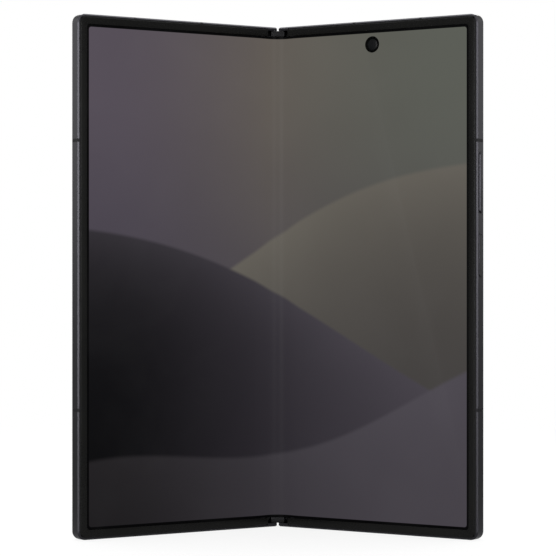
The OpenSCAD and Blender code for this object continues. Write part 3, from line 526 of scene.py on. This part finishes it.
FINE_GRAIN = make_fine_grain()
BRUSHED_LINES = make_brushed_lines()
FINGER_HAZE = make_finger_haze()
DUNE = make_dune()


# ---------------------------------------------------------------- materials

def grained(name, dark, light, rough, grain_scale, depth, metallic=0.0, **values):
    """A material of fine grain: moulded plastic, blasted metal, etched glass or foil."""
    made, tree, shader = new_material(name, Metallic=metallic, **values)
    grain = place_group(tree, FINE_GRAIN, {
        "Place": object_place(tree), "Grain Scale": grain_scale, "Dark": dark, "Light": light,
        "Least Rough": rough[0], "Most Rough": rough[1]})
    tree.links.new(grain["Colour"], shader.inputs["Base Color"])
    tree.links.new(grain["Roughness"], shader.inputs["Roughness"])
    tree.links.new(bump(tree, grain["Height"], 0.35, depth), shader.inputs["Normal"])
    return made


def brushed(name, dark, light, rough, stretch, depth):
    """A metal with fine lines, which lie close together along the axes of a great stretch."""
    made, tree, shader = new_material(name, Metallic=1.0)
    lines = place_group(tree, BRUSHED_LINES, {
        "Place": object_place(tree), "Stretch": stretch, "Dark": dark, "Light": light,
        "Least Rough": rough[0], "Most Rough": rough[1]})
    tree.links.new(lines["Colour"], shader.inputs["Base Color"])
    tree.links.new(lines["Roughness"], shader.inputs["Roughness"])
    tree.links.new(bump(tree, lines["Height"], 0.3, depth), shader.inputs["Normal"])
    return made


def polished(name, colour, rough, **values):
    """A material of polished dark glass with faint finger marks."""
    made, tree, shader = new_material(name, **values)
    haze = place_group(tree, FINGER_HAZE, {
        "Place": object_place(tree), "Clean": rough[0], "Smeared": rough[1]})
    paler = tuple(min(1, c * 1.35 + 0.001) for c in colour[:3]) + (1,)
    tree.links.new(blend_colour(tree, haze["Mask"], colour, paler), shader.inputs["Base Color"])
    tree.links.new(haze["Roughness"], shader.inputs["Roughness"])
    return made


# Hills of the picture from the back to the front: form, then the colour of the crest and of
# the foot, each at the left and at the right
HILLS = [
    (dict(Crest=0.56, Slope=0.34, Swell=0.05, Waves=5.2, Phase=0.6, Edge=0.012, Reach=0.30),
     (tone(99, 95, 88), tone(99, 95, 88)), (tone(50, 48, 50), tone(50, 48, 50))),
    (dict(Crest=0.43, Slope=-0.30, Swell=0.06, Waves=4.1, Phase=2.4, Edge=0.010, Reach=0.105),
     (tone(52, 49, 54), tone(70, 66, 73)), (tone(6, 6, 7), tone(60, 56, 63))),
    (dict(Crest=0.20, Slope=0.22, Swell=0.05, Waves=6.0, Phase=4.4, Edge=0.012, Reach=0.20),
     (tone(34, 32, 34), tone(76, 72, 79)), (tone(20, 19, 20), tone(66, 62, 68))),
]


def picture_colour(tree, across, up, place):
    """A pale sky above three soft hills, with a slow drift of brightness."""
    sideways = step_between(tree, across, -0.42, 0.42)
    sky = add_node(tree, "ShaderNodeValToRGB", {0: sideways})
    stops = sky.color_ramp.elements
    stops[0].color = tone(84, 77, 86)
    stops[1].color = tone(90, 92, 85)
    stops.new(0.46).color = tone(97, 91, 85)
    low_sky = blend_colour(tree, sideways, tone(66, 62, 72), tone(74, 71, 72))
    colour = blend_colour(tree, step_between(tree, up, 0.3, 0.95), low_sky, sky.outputs[0])
    for form, crest, foot in HILLS:
        values = dict(form)
        values.update({
            "Across": across, "Up": up, "Behind": colour,
            "Crest Colour": blend_colour(tree, sideways, crest[0], crest[1]),
            "Foot Colour": blend_colour(tree, sideways, foot[0], foot[1])})
        colour = place_group(tree, DUNE, values)["Colour"]
    sheen = noise(tree, place, 3.0, 2.0)
    drift = add_node(tree, "ShaderNodeMapRange", {0: sheen, 1: 0.2, 2: 0.8, 3: 0.93, 4: 1.07}).outputs[0]
    return add_node(tree, "ShaderNodeVectorMath", {0: colour, "Scale": drift}, operation="SCALE").outputs[0]


def picture_area(tree, across, up):
    """1 inside the round-cornered outline of the picture and 0 on its black border."""
    corner = PICTURE_CORNER / HEIGHT
    blur = PICTURE_BLUR / HEIGHT
    half_sizes = ((HALF_W - BORDER_SIDE) / HEIGHT - corner, 0.5 - BORDER_END / HEIGHT - corner)
    reach = beyond_box(tree, (across, up), (0.0, 0.5), half_sizes)
    return maths(tree, "SUBTRACT", 1.0, step_between(tree, reach, corner - blur, corner + blur))


def seal_area(tree, across, up):
    """1 on the seal in the groove between the bezel and the frame."""
    groove = (RIM + BEZEL_GAP + SEAL_W) / HEIGHT
    from_middle = maths(tree, "ABSOLUTE", maths(tree, "SUBTRACT", up, 0.5))
    sides = maths(tree, "GREATER_THAN", maths(tree, "ABSOLUTE", across), HALF_W / HEIGHT - groove)
    ends = maths(tree, "GREATER_THAN", from_middle, 0.5 - groove)
    return maths(tree, "MAXIMUM", sides, ends)


def make_screen_picture():
    """A lit picture of soft dunes with a black border, on the screen's own UV map."""
    made, tree, shader = new_material("screen_picture", Specular_IOR_Level=0.02, Emission_Strength=1.0)
    place = add_node(tree, "ShaderNodeUVMap", uv_map="flat").outputs[0]
    uv = add_node(tree, "ShaderNodeSeparateXYZ", {0: place}).outputs
    across, up = uv[0], uv[1]
    colour = picture_colour(tree, across, up, place)
    picture = blend_colour(tree, picture_area(tree, across, up), (0, 0, 0, 1), colour)
    tree.links.new(picture, shader.inputs["Emission Color"])
    haze = place_group(tree, FINGER_HAZE, {
        "Place": object_place(tree), "Scale": 40.0, "Clean": 0.30, "Smeared": 0.38})
    film = blend_colour(tree, haze["Mask"], (0.0015, 0.0015, 0.0017, 1), (0.003, 0.003, 0.0032, 1))
    film = blend_colour(tree, seal_area(tree, across, up), film, (0.012, 0.012, 0.0125, 1))
    tree.links.new(film, shader.inputs["Base Color"])
    tree.links.new(haze["Roughness"], shader.inputs["Roughness"])
    return made


def make_cover_glass():
    """Black cover glass over a dark display, with a border and the round window of a camera."""
    made, tree, shader = new_material("cover_glass")
    place = add_node(tree, "ShaderNodeSeparateXYZ", {0: half_place(tree, LEFT)}).outputs
    low_x, high_x = COVER_DISPLAY_X
    outside = beyond_box(tree, (place[0], place[2]), ((low_x + high_x) / 2, HEIGHT / 2), (
        (high_x - low_x) / 2 - COVER_CORNER, HEIGHT / 2 - COVER_BORDER - COVER_CORNER))
    border = step_between(tree, outside, COVER_CORNER, COVER_CORNER + PRINT_EDGE)
    away = beyond_box(tree, (place[0], place[2]), (COVER_HOLE_X, COVER_HOLE_Z), (0.0, 0.0))
    ring = maths(tree, "SUBTRACT", 1.0, step_between(tree, away, COVER_HOLE_R, COVER_HOLE_R + WINDOW_EDGE))
    lens = maths(tree, "SUBTRACT", 1.0, step_between(tree, away, COVER_LENS_R, COVER_LENS_R + WINDOW_EDGE))
    haze = place_group(tree, FINGER_HAZE, {"Place": object_place(tree), "Clean": 0.05, "Smeared": 0.12})
    colour = blend_colour(tree, haze["Mask"], (0.0050, 0.0052, 0.0060, 1), (0.0070, 0.0072, 0.0080, 1))
    colour = blend_colour(tree, border, colour, (0.0018, 0.0018, 0.0020, 1))
    colour = blend_colour(tree, ring, colour, (0.0150, 0.0150, 0.0165, 1))
    colour = blend_colour(tree, lens, colour, (0.0010, 0.0009, 0.0022, 1))
    tree.links.new(colour, shader.inputs["Base Color"])
    tree.links.new(haze["Roughness"], shader.inputs["Roughness"])
    return made


def make_lens_glass():
    """Clear glass of the rear lenses, printed black beyond the round window in its middle."""
    made, tree, shader = new_material("lens_glass", Transmission_Weight=1.0, IOR=1.5)
    place = add_node(tree, "ShaderNodeSeparateXYZ", {0: half_place(tree, RIGHT)}).outputs
    away = 1.0
    for z in LENS_ZS:
        from_lens = beyond_box(tree, (place[0], place[2]), (ISLAND_X, z), (0.0, 0.0))
        away = maths(tree, "MINIMUM", away, from_lens)
    border = step_between(tree, away, LENS_CLEAR_R, LENS_CLEAR_R + PRINT_EDGE)
    haze = place_group(tree, FINGER_HAZE, {"Place": object_place(tree), "Clean": 0.0, "Smeared": 0.03})
    clear = blend_colour(tree, haze["Mask"], (0.80, 0.82, 0.88, 1), (0.76, 0.78, 0.83, 1))
    printed = blend_colour(tree, border, clear, (0.0008, 0.0008, 0.0009, 1))
    tree.links.new(printed, shader.inputs["Base Color"])
    tree.links.new(haze["Roughness"], shader.inputs["Roughness"])
    return made


anodised = grained("anodised_frame", (0.046, 0.045, 0.0515, 1), (0.054, 0.053, 0.060, 1), (0.31, 0.37),
                   12000.0, 0.00026 * MM, metallic=1.0)
island_metal = grained("island_metal", (0.070, 0.069, 0.079, 1), (0.084, 0.082, 0.094, 1), (0.38, 0.46),
                       5200.0, 0.0008 * MM, metallic=1.0)
break_plastic = grained("break_plastic", (0.0090, 0.0088, 0.0100, 1), (0.0115, 0.0112, 0.0128, 1),
                        (0.42, 0.5), 3800.0, 0.003 * MM, Specular_IOR_Level=0.1)
bezel_plastic = grained("bezel_plastic", (0.0026, 0.0026, 0.0024, 1), (0.0038, 0.0038, 0.0035, 1),
                        (0.25, 0.31), 3000.0, 0.003 * MM, Specular_IOR_Level=0.2)
sintered_steel = grained("sintered_steel", (0.05, 0.05, 0.055, 1), (0.085, 0.085, 0.092, 1), (0.38, 0.5),
                         2600.0, 0.01 * MM, metallic=1.0)
cap_steel = grained("cap_steel", (0.015, 0.015, 0.0155, 1), (0.021, 0.021, 0.022, 1), (0.35, 0.45),
                    2600.0, 0.006 * MM, metallic=1.0)
bright_steel = brushed("bright_steel", (0.30, 0.30, 0.32, 1), (0.46, 0.46, 0.48, 1), (0.22, 0.36),
                       (300.0, 300.0, 4000.0), 0.006 * MM)
ring_steel = brushed("ring_steel", (0.10, 0.10, 0.115, 1), (0.15, 0.15, 0.165, 1), (0.2, 0.3),
                     (2500.0, 60.0, 2500.0), 0.003 * MM)
matte_black = grained("matte_black", (0.010, 0.010, 0.011, 1), (0.018, 0.018, 0.019, 1), (0.5, 0.62),
                      3200.0, 0.008 * MM)
etched_glass = grained("etched_glass", (0.050, 0.049, 0.060, 1), (0.060, 0.058, 0.071, 1), (0.34, 0.42),
                       6000.0, 0.002 * MM, Coat_Weight=0.15, Coat_Roughness=0.3)
foil = grained("cell_foil", (0.03, 0.03, 0.033, 1), (0.06, 0.06, 0.066, 1), (0.3, 0.5),
               420.0, 0.05 * MM, metallic=0.4)
board_green = grained("board_green", (0.006, 0.030, 0.020, 1), (0.012, 0.06, 0.042, 1), (0.35, 0.5),
                      1500.0, 0.02 * MM)
copper = brushed("wound_copper", (0.40, 0.17, 0.07, 1), (0.62, 0.30, 0.13, 1), (0.25, 0.4),
                 (400.0, 400.0, 3000.0), 0.01 * MM)
cover_glass = make_cover_glass()
deep_black = grained("deep_black", (0.0008, 0.0008, 0.0008, 1), (0.0014, 0.0014, 0.0013, 1), (0.45, 0.55),
                     3000.0, 0.003 * MM, Specular_IOR_Level=0.03)
coated_glass = polished("coated_glass", (0.0036, 0.0039, 0.0043, 1), (0.34, 0.42),
                        Specular_IOR_Level=0.12)
lens_glass = make_lens_glass()
barrel_black = grained("barrel_black", (0.0025, 0.0025, 0.003, 1), (0.0045, 0.0045, 0.0055, 1), (0.3, 0.42),
                       2600.0, 0.004 * MM)
coated_lens = polished("coated_lens", (0.0030, 0.0022, 0.0080, 1), (0.05, 0.1),
                       Specular_IOR_Level=0.8, Specular_Tint=(0.42, 0.34, 0.85, 1))
flash_yellow = grained("flash_yellow", (0.60, 0.52, 0.30, 1), (0.72, 0.64, 0.42, 1), (0.2, 0.3),
                       1800.0, 0.004 * MM)
screen_picture = make_screen_picture()


# ---------------------------------------------------------------- screen

def give_flat_uv(obj, place):
    """UV map of a screen piece: the unfolded place across and up, in shares of the height."""
    layer = obj.data.uv_layers.new(name="flat")
    for loop in obj.data.loops:
        across, up = place(obj.data.vertices[loop.vertex_index].co)
        layer.data[loop.index].uv = (across / HEIGHT, up / HEIGHT)


def make_screen_panel(side):
    """The flat part of one screen half, with the camera hole on the right."""
    edge = HALF_W - RIM - FIT
    name = f"screen_panel_{SIDE_NAME[side]}"
    panel = block(name, STRIP_END, edge, 0, SCREEN_T, RIM + FIT, HEIGHT - RIM - FIT)
    round_corners(panel, CORNER_R - RIM - FIT, edge - MM)
    if side == RIGHT:
        cut(panel, rod("hole_tool", HOLE_X, HOLE_Z, HOLE_R, -MM, MM))
    soften(panel, 0.03 * MM, segments=2)
    give_flat_uv(panel, lambda co: (side * co.x, co.z))
    seat(panel, side)
    dress(panel, f"{SIDE_NAME[side]}_half", "screen", screen_picture, f"display_{SIDE_NAME[side]}")


def strip_curve():
    """Steepest turn and arc radii of the strip: a tight arc at the fold line, then a wide one back."""
    steep = FOLD + STRIP_TILT
    end_x = AXIS.x + (STRIP_END - AXIS.x) * math.cos(FOLD) - AXIS_DEPTH * math.sin(FOLD)
    end_y = AXIS_DEPTH - (STRIP_END - AXIS.x) * math.sin(FOLD) - AXIS_DEPTH * math.cos(FOLD)
    a, b = math.sin(steep), math.sin(steep) - math.sin(FOLD)
    c, d = 1 - math.cos(steep), math.cos(FOLD) - math.cos(steep)
    tight = (end_x * d - b * (STRIP_SAG - end_y)) / (a * d - b * c)
    wide = (a * (STRIP_SAG - end_y) - c * end_x) / (a * d - b * c)
    return steep, tight, wide


STRIP_STEEP, STRIP_TIGHT, STRIP_WIDE = strip_curve()


def strip_point(share):
    """Place in x and y of the strip's face at a share of its length from the fold line."""
    first_run = STRIP_TIGHT * STRIP_STEEP
    run = share * (first_run + STRIP_WIDE * STRIP_TILT)
    if run <= first_run:
        turn = run / STRIP_TIGHT
        return STRIP_TIGHT * math.sin(turn), STRIP_SAG - STRIP_TIGHT * (1 - math.cos(turn))
    turn = STRIP_STEEP - (run - first_run) / STRIP_WIDE
    x = STRIP_TIGHT * math.sin(STRIP_STEEP) + STRIP_WIDE * (math.sin(STRIP_STEEP) - math.sin(turn))
    fall = STRIP_TIGHT * (1 - math.cos(STRIP_STEEP)) - STRIP_WIDE * (math.cos(STRIP_STEEP) - math.cos(turn))
    return x, STRIP_SAG - fall


def make_fold_strip(side):
    """One half of the folding strip, curved in two arcs from the fold line to its half."""
    bpy.ops.mesh.primitive_grid_add(x_subdivisions=40, y_subdivisions=8, size=1)
    strip = bpy.context.active_object
    strip.name = f"screen_fold_{SIDE_NAME[side]}"
    layer = strip.data.uv_layers.new(name="flat")
    strip.data.uv_layers.active = layer
    spots = [(v.co.x + 0.5, STRIP_IN + (v.co.y + 0.5) * (HEIGHT - 2 * STRIP_IN)) for v in strip.data.vertices]
    for vertex, (share, z) in zip(strip.data.vertices, spots):
        x, y = strip_point(share)
        vertex.co = (side * x, y + AXIS.y - AXIS_DEPTH, z)
    for loop in strip.data.loops:
        share, z = spots[loop.vertex_index]
        layer.data[loop.index].uv = (side * share * STRIP_END / HEIGHT, z / HEIGHT)
    if side == LEFT:
        only(strip)
        bpy.ops.object.mode_set(mode="EDIT")
        bpy.ops.mesh.select_all(action="SELECT")
        bpy.ops.mesh.flip_normals()
        bpy.ops.object.mode_set(mode="OBJECT")
    body = strip.modifiers.new("thickness", "SOLIDIFY")
    body.thickness = STRIP_T
    body.offset = -1
    apply_all(strip)
    bpy.ops.object.shade_smooth_by_angle(angle=SMOOTH_ANGLE)
    strip.data.materials.clear()
    strip.data.materials.append(screen_picture)
    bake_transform(strip)
    return strip


def make_bezel(side):
    """The raised soft rim round one screen half, open towards the fold."""
    outer = RIM + BEZEL_GAP
    inner = outer + BEZEL_W
    name = f"{SIDE_NAME[side]}_bezel_rim"
    rim = block(name, BEZEL_END, HALF_W - outer, -BEZEL_H, 0, outer, HEIGHT - outer)
    round_corners(rim, CORNER_R - outer, HALF_W - outer - MM)
    tool = block("bezel_tool", BEZEL_END - MM, HALF_W - inner, -MM, MM, inner, HEIGHT - inner)
    round_corners(tool, MM, HALF_W - inner - MM / 2)
    cut(rim, tool)
    soften(rim, 0.17 * MM, segments=4)
    seat(rim, side)
    dress(rim, f"{SIDE_NAME[side]}_half", "bezel", bezel_plastic, f"{SIDE_NAME[side]}_bezel")


for side in (RIGHT, LEFT):
    make_screen_panel(side)
    make_bezel(side)
fold_strips = [make_fold_strip(side) for side in (RIGHT, LEFT)]
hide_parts("display_fold")


# ---------------------------------------------------------------- keys, caps, island

def chamfer_outer_face(obj, side, least_x, width):
    """A flat chamfer round the face of obj that stands out past least_x from the edge of its half."""
    obj.data.transform(half_matrix(side).inverted())
    only(obj)
    bpy.ops.object.mode_set(mode="EDIT")

    def on_rim(edge):
        flat = [abs(face.normal.x) > FACING for face in edge.link_faces]
        return min(v.co.x for v in edge.verts) > least_x and any(flat) and not all(flat)

    pick(obj, "edges", on_rim)
    bpy.ops.mesh.bevel(offset=width, offset_type="OFFSET", segments=1, affect="EDGES")
    bpy.ops.object.mode_set(mode="OBJECT")
    obj.data.transform(half_matrix(side))


def soft_copy(node, body, slot, material, width, chamfer=0):
    """The node's own form with soft edges, and with a chamfered outer face where a chamfer is given."""
    obj = copy_of(node, f"{node}_soft")
    if chamfer:
        chamfer_outer_face(obj, RIGHT, HALF_W + KEY_FACE_OUT, chamfer)
    soften(obj, width)
    dress(obj, body, slot, material, node)


soft_copy("volume_rocker", "rocker", "frame", anodised, 0.04 * MM, chamfer=0.28 * MM)
soft_copy("side_key", "key", "frame", anodised, 0.1 * MM)
soft_copy("fingerprint_pad", "key", "black_plastic", matte_black, 0.05 * MM)
soft_copy("spine_end_caps", "hinge", "dark_steel", cap_steel, 0.12 * MM)
soft_copy("camera_island", "right_half", "frame", island_metal, 0.12 * MM)
soft_copy("card_tray", "tray", "frame", anodised, 0.06 * MM)


# ---------------------------------------------------------------- lenses

def make_inner_lens():
    """Lens of the hole camera: a black collar round a low glass dome."""
    r = HOLE_R - FIT
    collar = spin_profile("inner_lens_collar", [
        (1.75 * MM, 0.5 * MM), (1.75 * MM, 0.30 * MM), (1.95 * MM, 0.10 * MM), (r - 0.1 * MM, 0.07 * MM),
        (r, 0.16 * MM), (r, 0.5 * MM), (1.75 * MM, 0.5 * MM)], HOLE_X, HOLE_Z)
    seat(collar, RIGHT)
    dress(collar, "right_half", "black_plastic", deep_black, "inner_camera_lens")
    dome = spin_profile("inner_lens_dome", [
        (0, 0.5 * MM), (1.74 * MM, 0.5 * MM), (1.74 * MM, 0.34 * MM), (1.5 * MM, 0.27 * MM),
        (1.1 * MM, 0.21 * MM), (0.6 * MM, 0.17 * MM), (0, 0.155 * MM)], HOLE_X, HOLE_Z)
    seat(dome, RIGHT)
    dress(dome, "right_half", "black_glass", coated_glass)


def make_rear_lens(index, z):
    """One rear lens: a soft-edged ring, a low glass dome, the stepped barrel and the front element."""
    out = THICK + ISLAND_OUT
    inner = RING_R - RING_W
    ring = spin_profile(f"lens_ring_{index}", [
        (inner, out), (inner, out + 0.34 * MM), (inner + 0.16 * MM, out + 0.5 * MM),
        (RING_R - 0.22 * MM, out + 0.5 * MM), (RING_R - 0.07 * MM, out + 0.43 * MM),
        (RING_R, out + 0.28 * MM), (RING_R, out), (inner, out)], ISLAND_X, z, steps=96)
    seat(ring, RIGHT)
    r = inner - FIT
    glass = spin_profile(f"lens_glass_{index}", [
        (0, out - 0.4 * MM), (r, out - 0.4 * MM), (r, out + 0.22 * MM), (r - 0.1 * MM, out + 0.32 * MM),
        (r * 0.75, out + 0.355 * MM), (r * 0.4, out + 0.385 * MM), (0, out + 0.4 * MM)],
        ISLAND_X, z, steps=96)
    seat(glass, RIGHT)
    floor = out - BARREL_DEPTH
    steps = [(0, 0), (2.38, 0), (2.38, 1.08), (2.3, 1.08), (2.05, 0.85), (2.0, 0.6), (1.6, 0.57),
             (1.52, 0.3), (1.1, 0.26), (0.75, 0.34), (0, 0.4)]
    barrel = spin_profile(f"lens_barrel_{index}", [
        (radius * MM, floor + depth * MM) for radius, depth in steps], ISLAND_X, z, steps=96)
    seat(barrel, RIGHT)
    element = spin_profile(f"lens_element_{index}", [
        (0, floor + 0.42 * MM), (1.04 * MM, floor + 0.3 * MM), (1.06 * MM, floor + 0.42 * MM),
        (0.85 * MM, floor + 0.52 * MM), (0.5 * MM, floor + 0.6 * MM), (0, floor + 0.63 * MM)], ISLAND_X, z)
    seat(element, RIGHT)
    return ring, glass, barrel, element


def make_flash():
    """Flash window with the fine rings of a flat lens."""
    out = THICK + ISLAND_OUT - 0.05 * MM
    r = FLASH_R - FIT
    points = [(0, out - FLASH_T), (r, out - FLASH_T), (r, out - 0.05 * MM), (r - 0.06 * MM, out)]
    for ring in range(FLASH_RINGS):
        edge = r - 0.1 * MM - ring * FLASH_RING_PITCH
        points += [(edge, out), (edge - 0.02 * MM, out - 0.08 * MM), (edge - 0.2 * MM, out)]
    points.append((0, out))
    flash = spin_profile("flash_lens", points, ISLAND_X, FLASH_Z)
    seat(flash, RIGHT)
    dress(flash, "right_half", "flash", flash_yellow, "flash_window")


make_inner_lens()
rear_lenses = [make_rear_lens(k + 1, z) for k, z in enumerate(LENS_ZS)]
for ring, glass, barrel, element in rear_lenses:
    dress(ring, "right_half", "steel", ring_steel)
    dress(glass, "right_half", "black_glass", lens_glass)
    dress(barrel, "right_half", "black_plastic", barrel_black)
    dress(element, "right_half", "black_glass", coated_lens)
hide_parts("lens_rings")
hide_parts("lens_windows")
make_flash()


# ---------------------------------------------------------------- finishes of the other nodes

NODE_FINISH = {
    anodised: ["hinge_spine", "right_frame", "left_frame"],
    break_plastic: ["right_antenna_breaks", "left_antenna_breaks"],
    sintered_steel: ["hinge_blocks", "right_arms", "left_arms"],
    bright_steel: ["gear_covers", "block_screws", "gear_pins", "right_pinions", "left_pinions",
                   "right_idlers", "left_idlers", "right_arm_screws", "left_arm_screws",
                   "right_support_plate", "left_support_plate", "key_switches", "shield_cans",
                   "charging_socket", "vibration_motor", "right_magnet", "left_magnet", "card_reader"],
    matte_black: ["inner_camera", "rear_camera_modules", "socket_tongue", "loudspeaker", "earpiece",
                  "cover_camera", "cover_display", "coil_shield"],
    cover_glass: ["cover_glass"],
    etched_glass: ["right_back_glass"],
    foil: ["main_battery", "second_battery"],
    board_green: ["logic_board", "sub_board"],
    copper: ["charging_coil", "power_ribbon"],
}
for finish, nodes in NODE_FINISH.items():
    for node in nodes:
        mesh = frame["nodes"][node].data
        mesh.materials.clear()
        mesh.materials.append(finish)


# ---------------------------------------------------------------- stage

def seen_directly(tree):
    """1 for what the camera sees, also through glass."""
    path = add_node(tree, "ShaderNodeLightPath").outputs
    return maths(tree, "MAXIMUM", path["Is Camera Ray"], path["Is Transmission Ray"])


def seen_in_gloss(tree):
    """1 for what shows as a reflection."""
    return add_node(tree, "ShaderNodeLightPath").outputs["Is Glossy Ray"]


def make_floor():
    """Pale floor that keeps the shadow near the phone and fades to white far from it. In reflections it glows
    with painted light that is brighter near the phone.
    """
    bpy.ops.mesh.primitive_plane_add(size=12, location=(0, 0, 0))
    floor = bpy.context.active_object
    floor.name = "floor"
    made, tree, shader = new_material("floor_paint", Roughness=0.9, Specular_IOR_Level=0.0)
    place = object_place(tree)
    away = add_node(tree, "ShaderNodeVectorMath", {0: place}, operation="LENGTH").outputs["Value"]
    paint = blend_colour(tree, noise(tree, place, 900.0, 2.0), (0.95, 0.95, 0.95, 1), (0.96, 0.96, 0.96, 1))
    tree.links.new(paint, shader.inputs["Base Color"])
    far = step_between(tree, away, FLOOR_FADE[0], FLOOR_FADE[1])
    share = maths(tree, "MULTIPLY_ADD", far, FLOOR_SHADOW, 1 - FLOOR_SHADOW)
    share = maths(tree, "MULTIPLY", share, seen_directly(tree))
    white = add_node(tree, "ShaderNodeEmission", {"Color": (1, 1, 1, 1), "Strength": 1.0})
    seen = add_node(tree, "ShaderNodeMixShader", {0: share, 1: shader.outputs[0], 2: white.outputs[0]})
    # Painted light: in reflections the floor glows brighter near the phone, though no lamp is there
    near = step_between(tree, away, FLOOR_NEAR[0], FLOOR_NEAR[1])
    level = maths(tree, "MULTIPLY_ADD", near, FLOOR_NEAR_EXTRA, FLOOR_REFLECTED)
    mirrored = add_node(tree, "ShaderNodeEmission", {"Color": (1, 1, 1, 1), "Strength": level})
    both = add_node(tree, "ShaderNodeMixShader", {
        0: seen_in_gloss(tree), 1: seen.outputs[0], 2: mirrored.outputs[0]})
    out = next(n for n in tree.nodes if n.type == "OUTPUT_MATERIAL")
    tree.links.new(both.outputs[0], out.inputs[0])
    floor.data.materials.append(made)


def make_world():
    """White surroundings where they are seen directly, and soft light from them on the phone."""
    world = bpy.data.worlds.new("studio")
    bpy.context.scene.world = world
    world.use_nodes = True
    tree = world.node_tree
    tree.nodes.clear()
    level = scale_between(tree, seen_in_gloss(tree), WORLD_LIGHT, WORLD_REFLECTED)
    soft = add_node(tree, "ShaderNodeBackground", {"Color": (1, 1, 1, 1), "Strength": level})
    white = add_node(tree, "ShaderNodeBackground", {"Color": (1, 1, 1, 1), "Strength": 1.0})
    mixed = add_node(tree, "ShaderNodeMixShader", {
        0: seen_directly(tree), 1: soft.outputs[0], 2: white.outputs[0]})
    add_node(tree, "ShaderNodeOutputWorld", {0: mixed.outputs[0]})


def make_softbox(name, place, width, height, power):
    """An area light that faces the middle of the phone."""
    light = bpy.data.lights.new(name, "AREA")
    light.shape = "RECTANGLE"
    light.size = width
    light.size_y = height
    light.energy = power
    lamp = bpy.data.objects.new(name, light)
    bpy.context.scene.collection.objects.link(lamp)
    lamp.location = place
    lamp.rotation_mode = "QUATERNION"
    lamp.rotation_quaternion = (Vector((0, 0, HEIGHT / 2)) - Vector(place)).to_track_quat("-Z", "Y")


def make_camera():
    camera = bpy.data.cameras.new("camera")
    camera.sensor_width = SENSOR
    camera.lens = SENSOR * CAMERA_FOCAL / IMAGE_SIDE
    camera.shift_x = CAMERA_SHIFT[0] / IMAGE_SIDE
    camera.shift_y = CAMERA_SHIFT[1] / IMAGE_SIDE
    camera.clip_start = 0.05
    camera.clip_end = 50
    holder = bpy.data.objects.new("camera", camera)
    bpy.context.scene.collection.objects.link(holder)
    holder.location = (0, -CAMERA_BACK, HEIGHT / 2)
    holder.rotation_euler = (math.pi / 2, 0, 0)
    bpy.context.scene.camera = holder


bpy.context.scene.view_settings.view_transform = "Standard"
make_floor()
make_world()
for box_name, box_values in SOFTBOXES.items():
    make_softbox(box_name, *box_values)
make_camera()
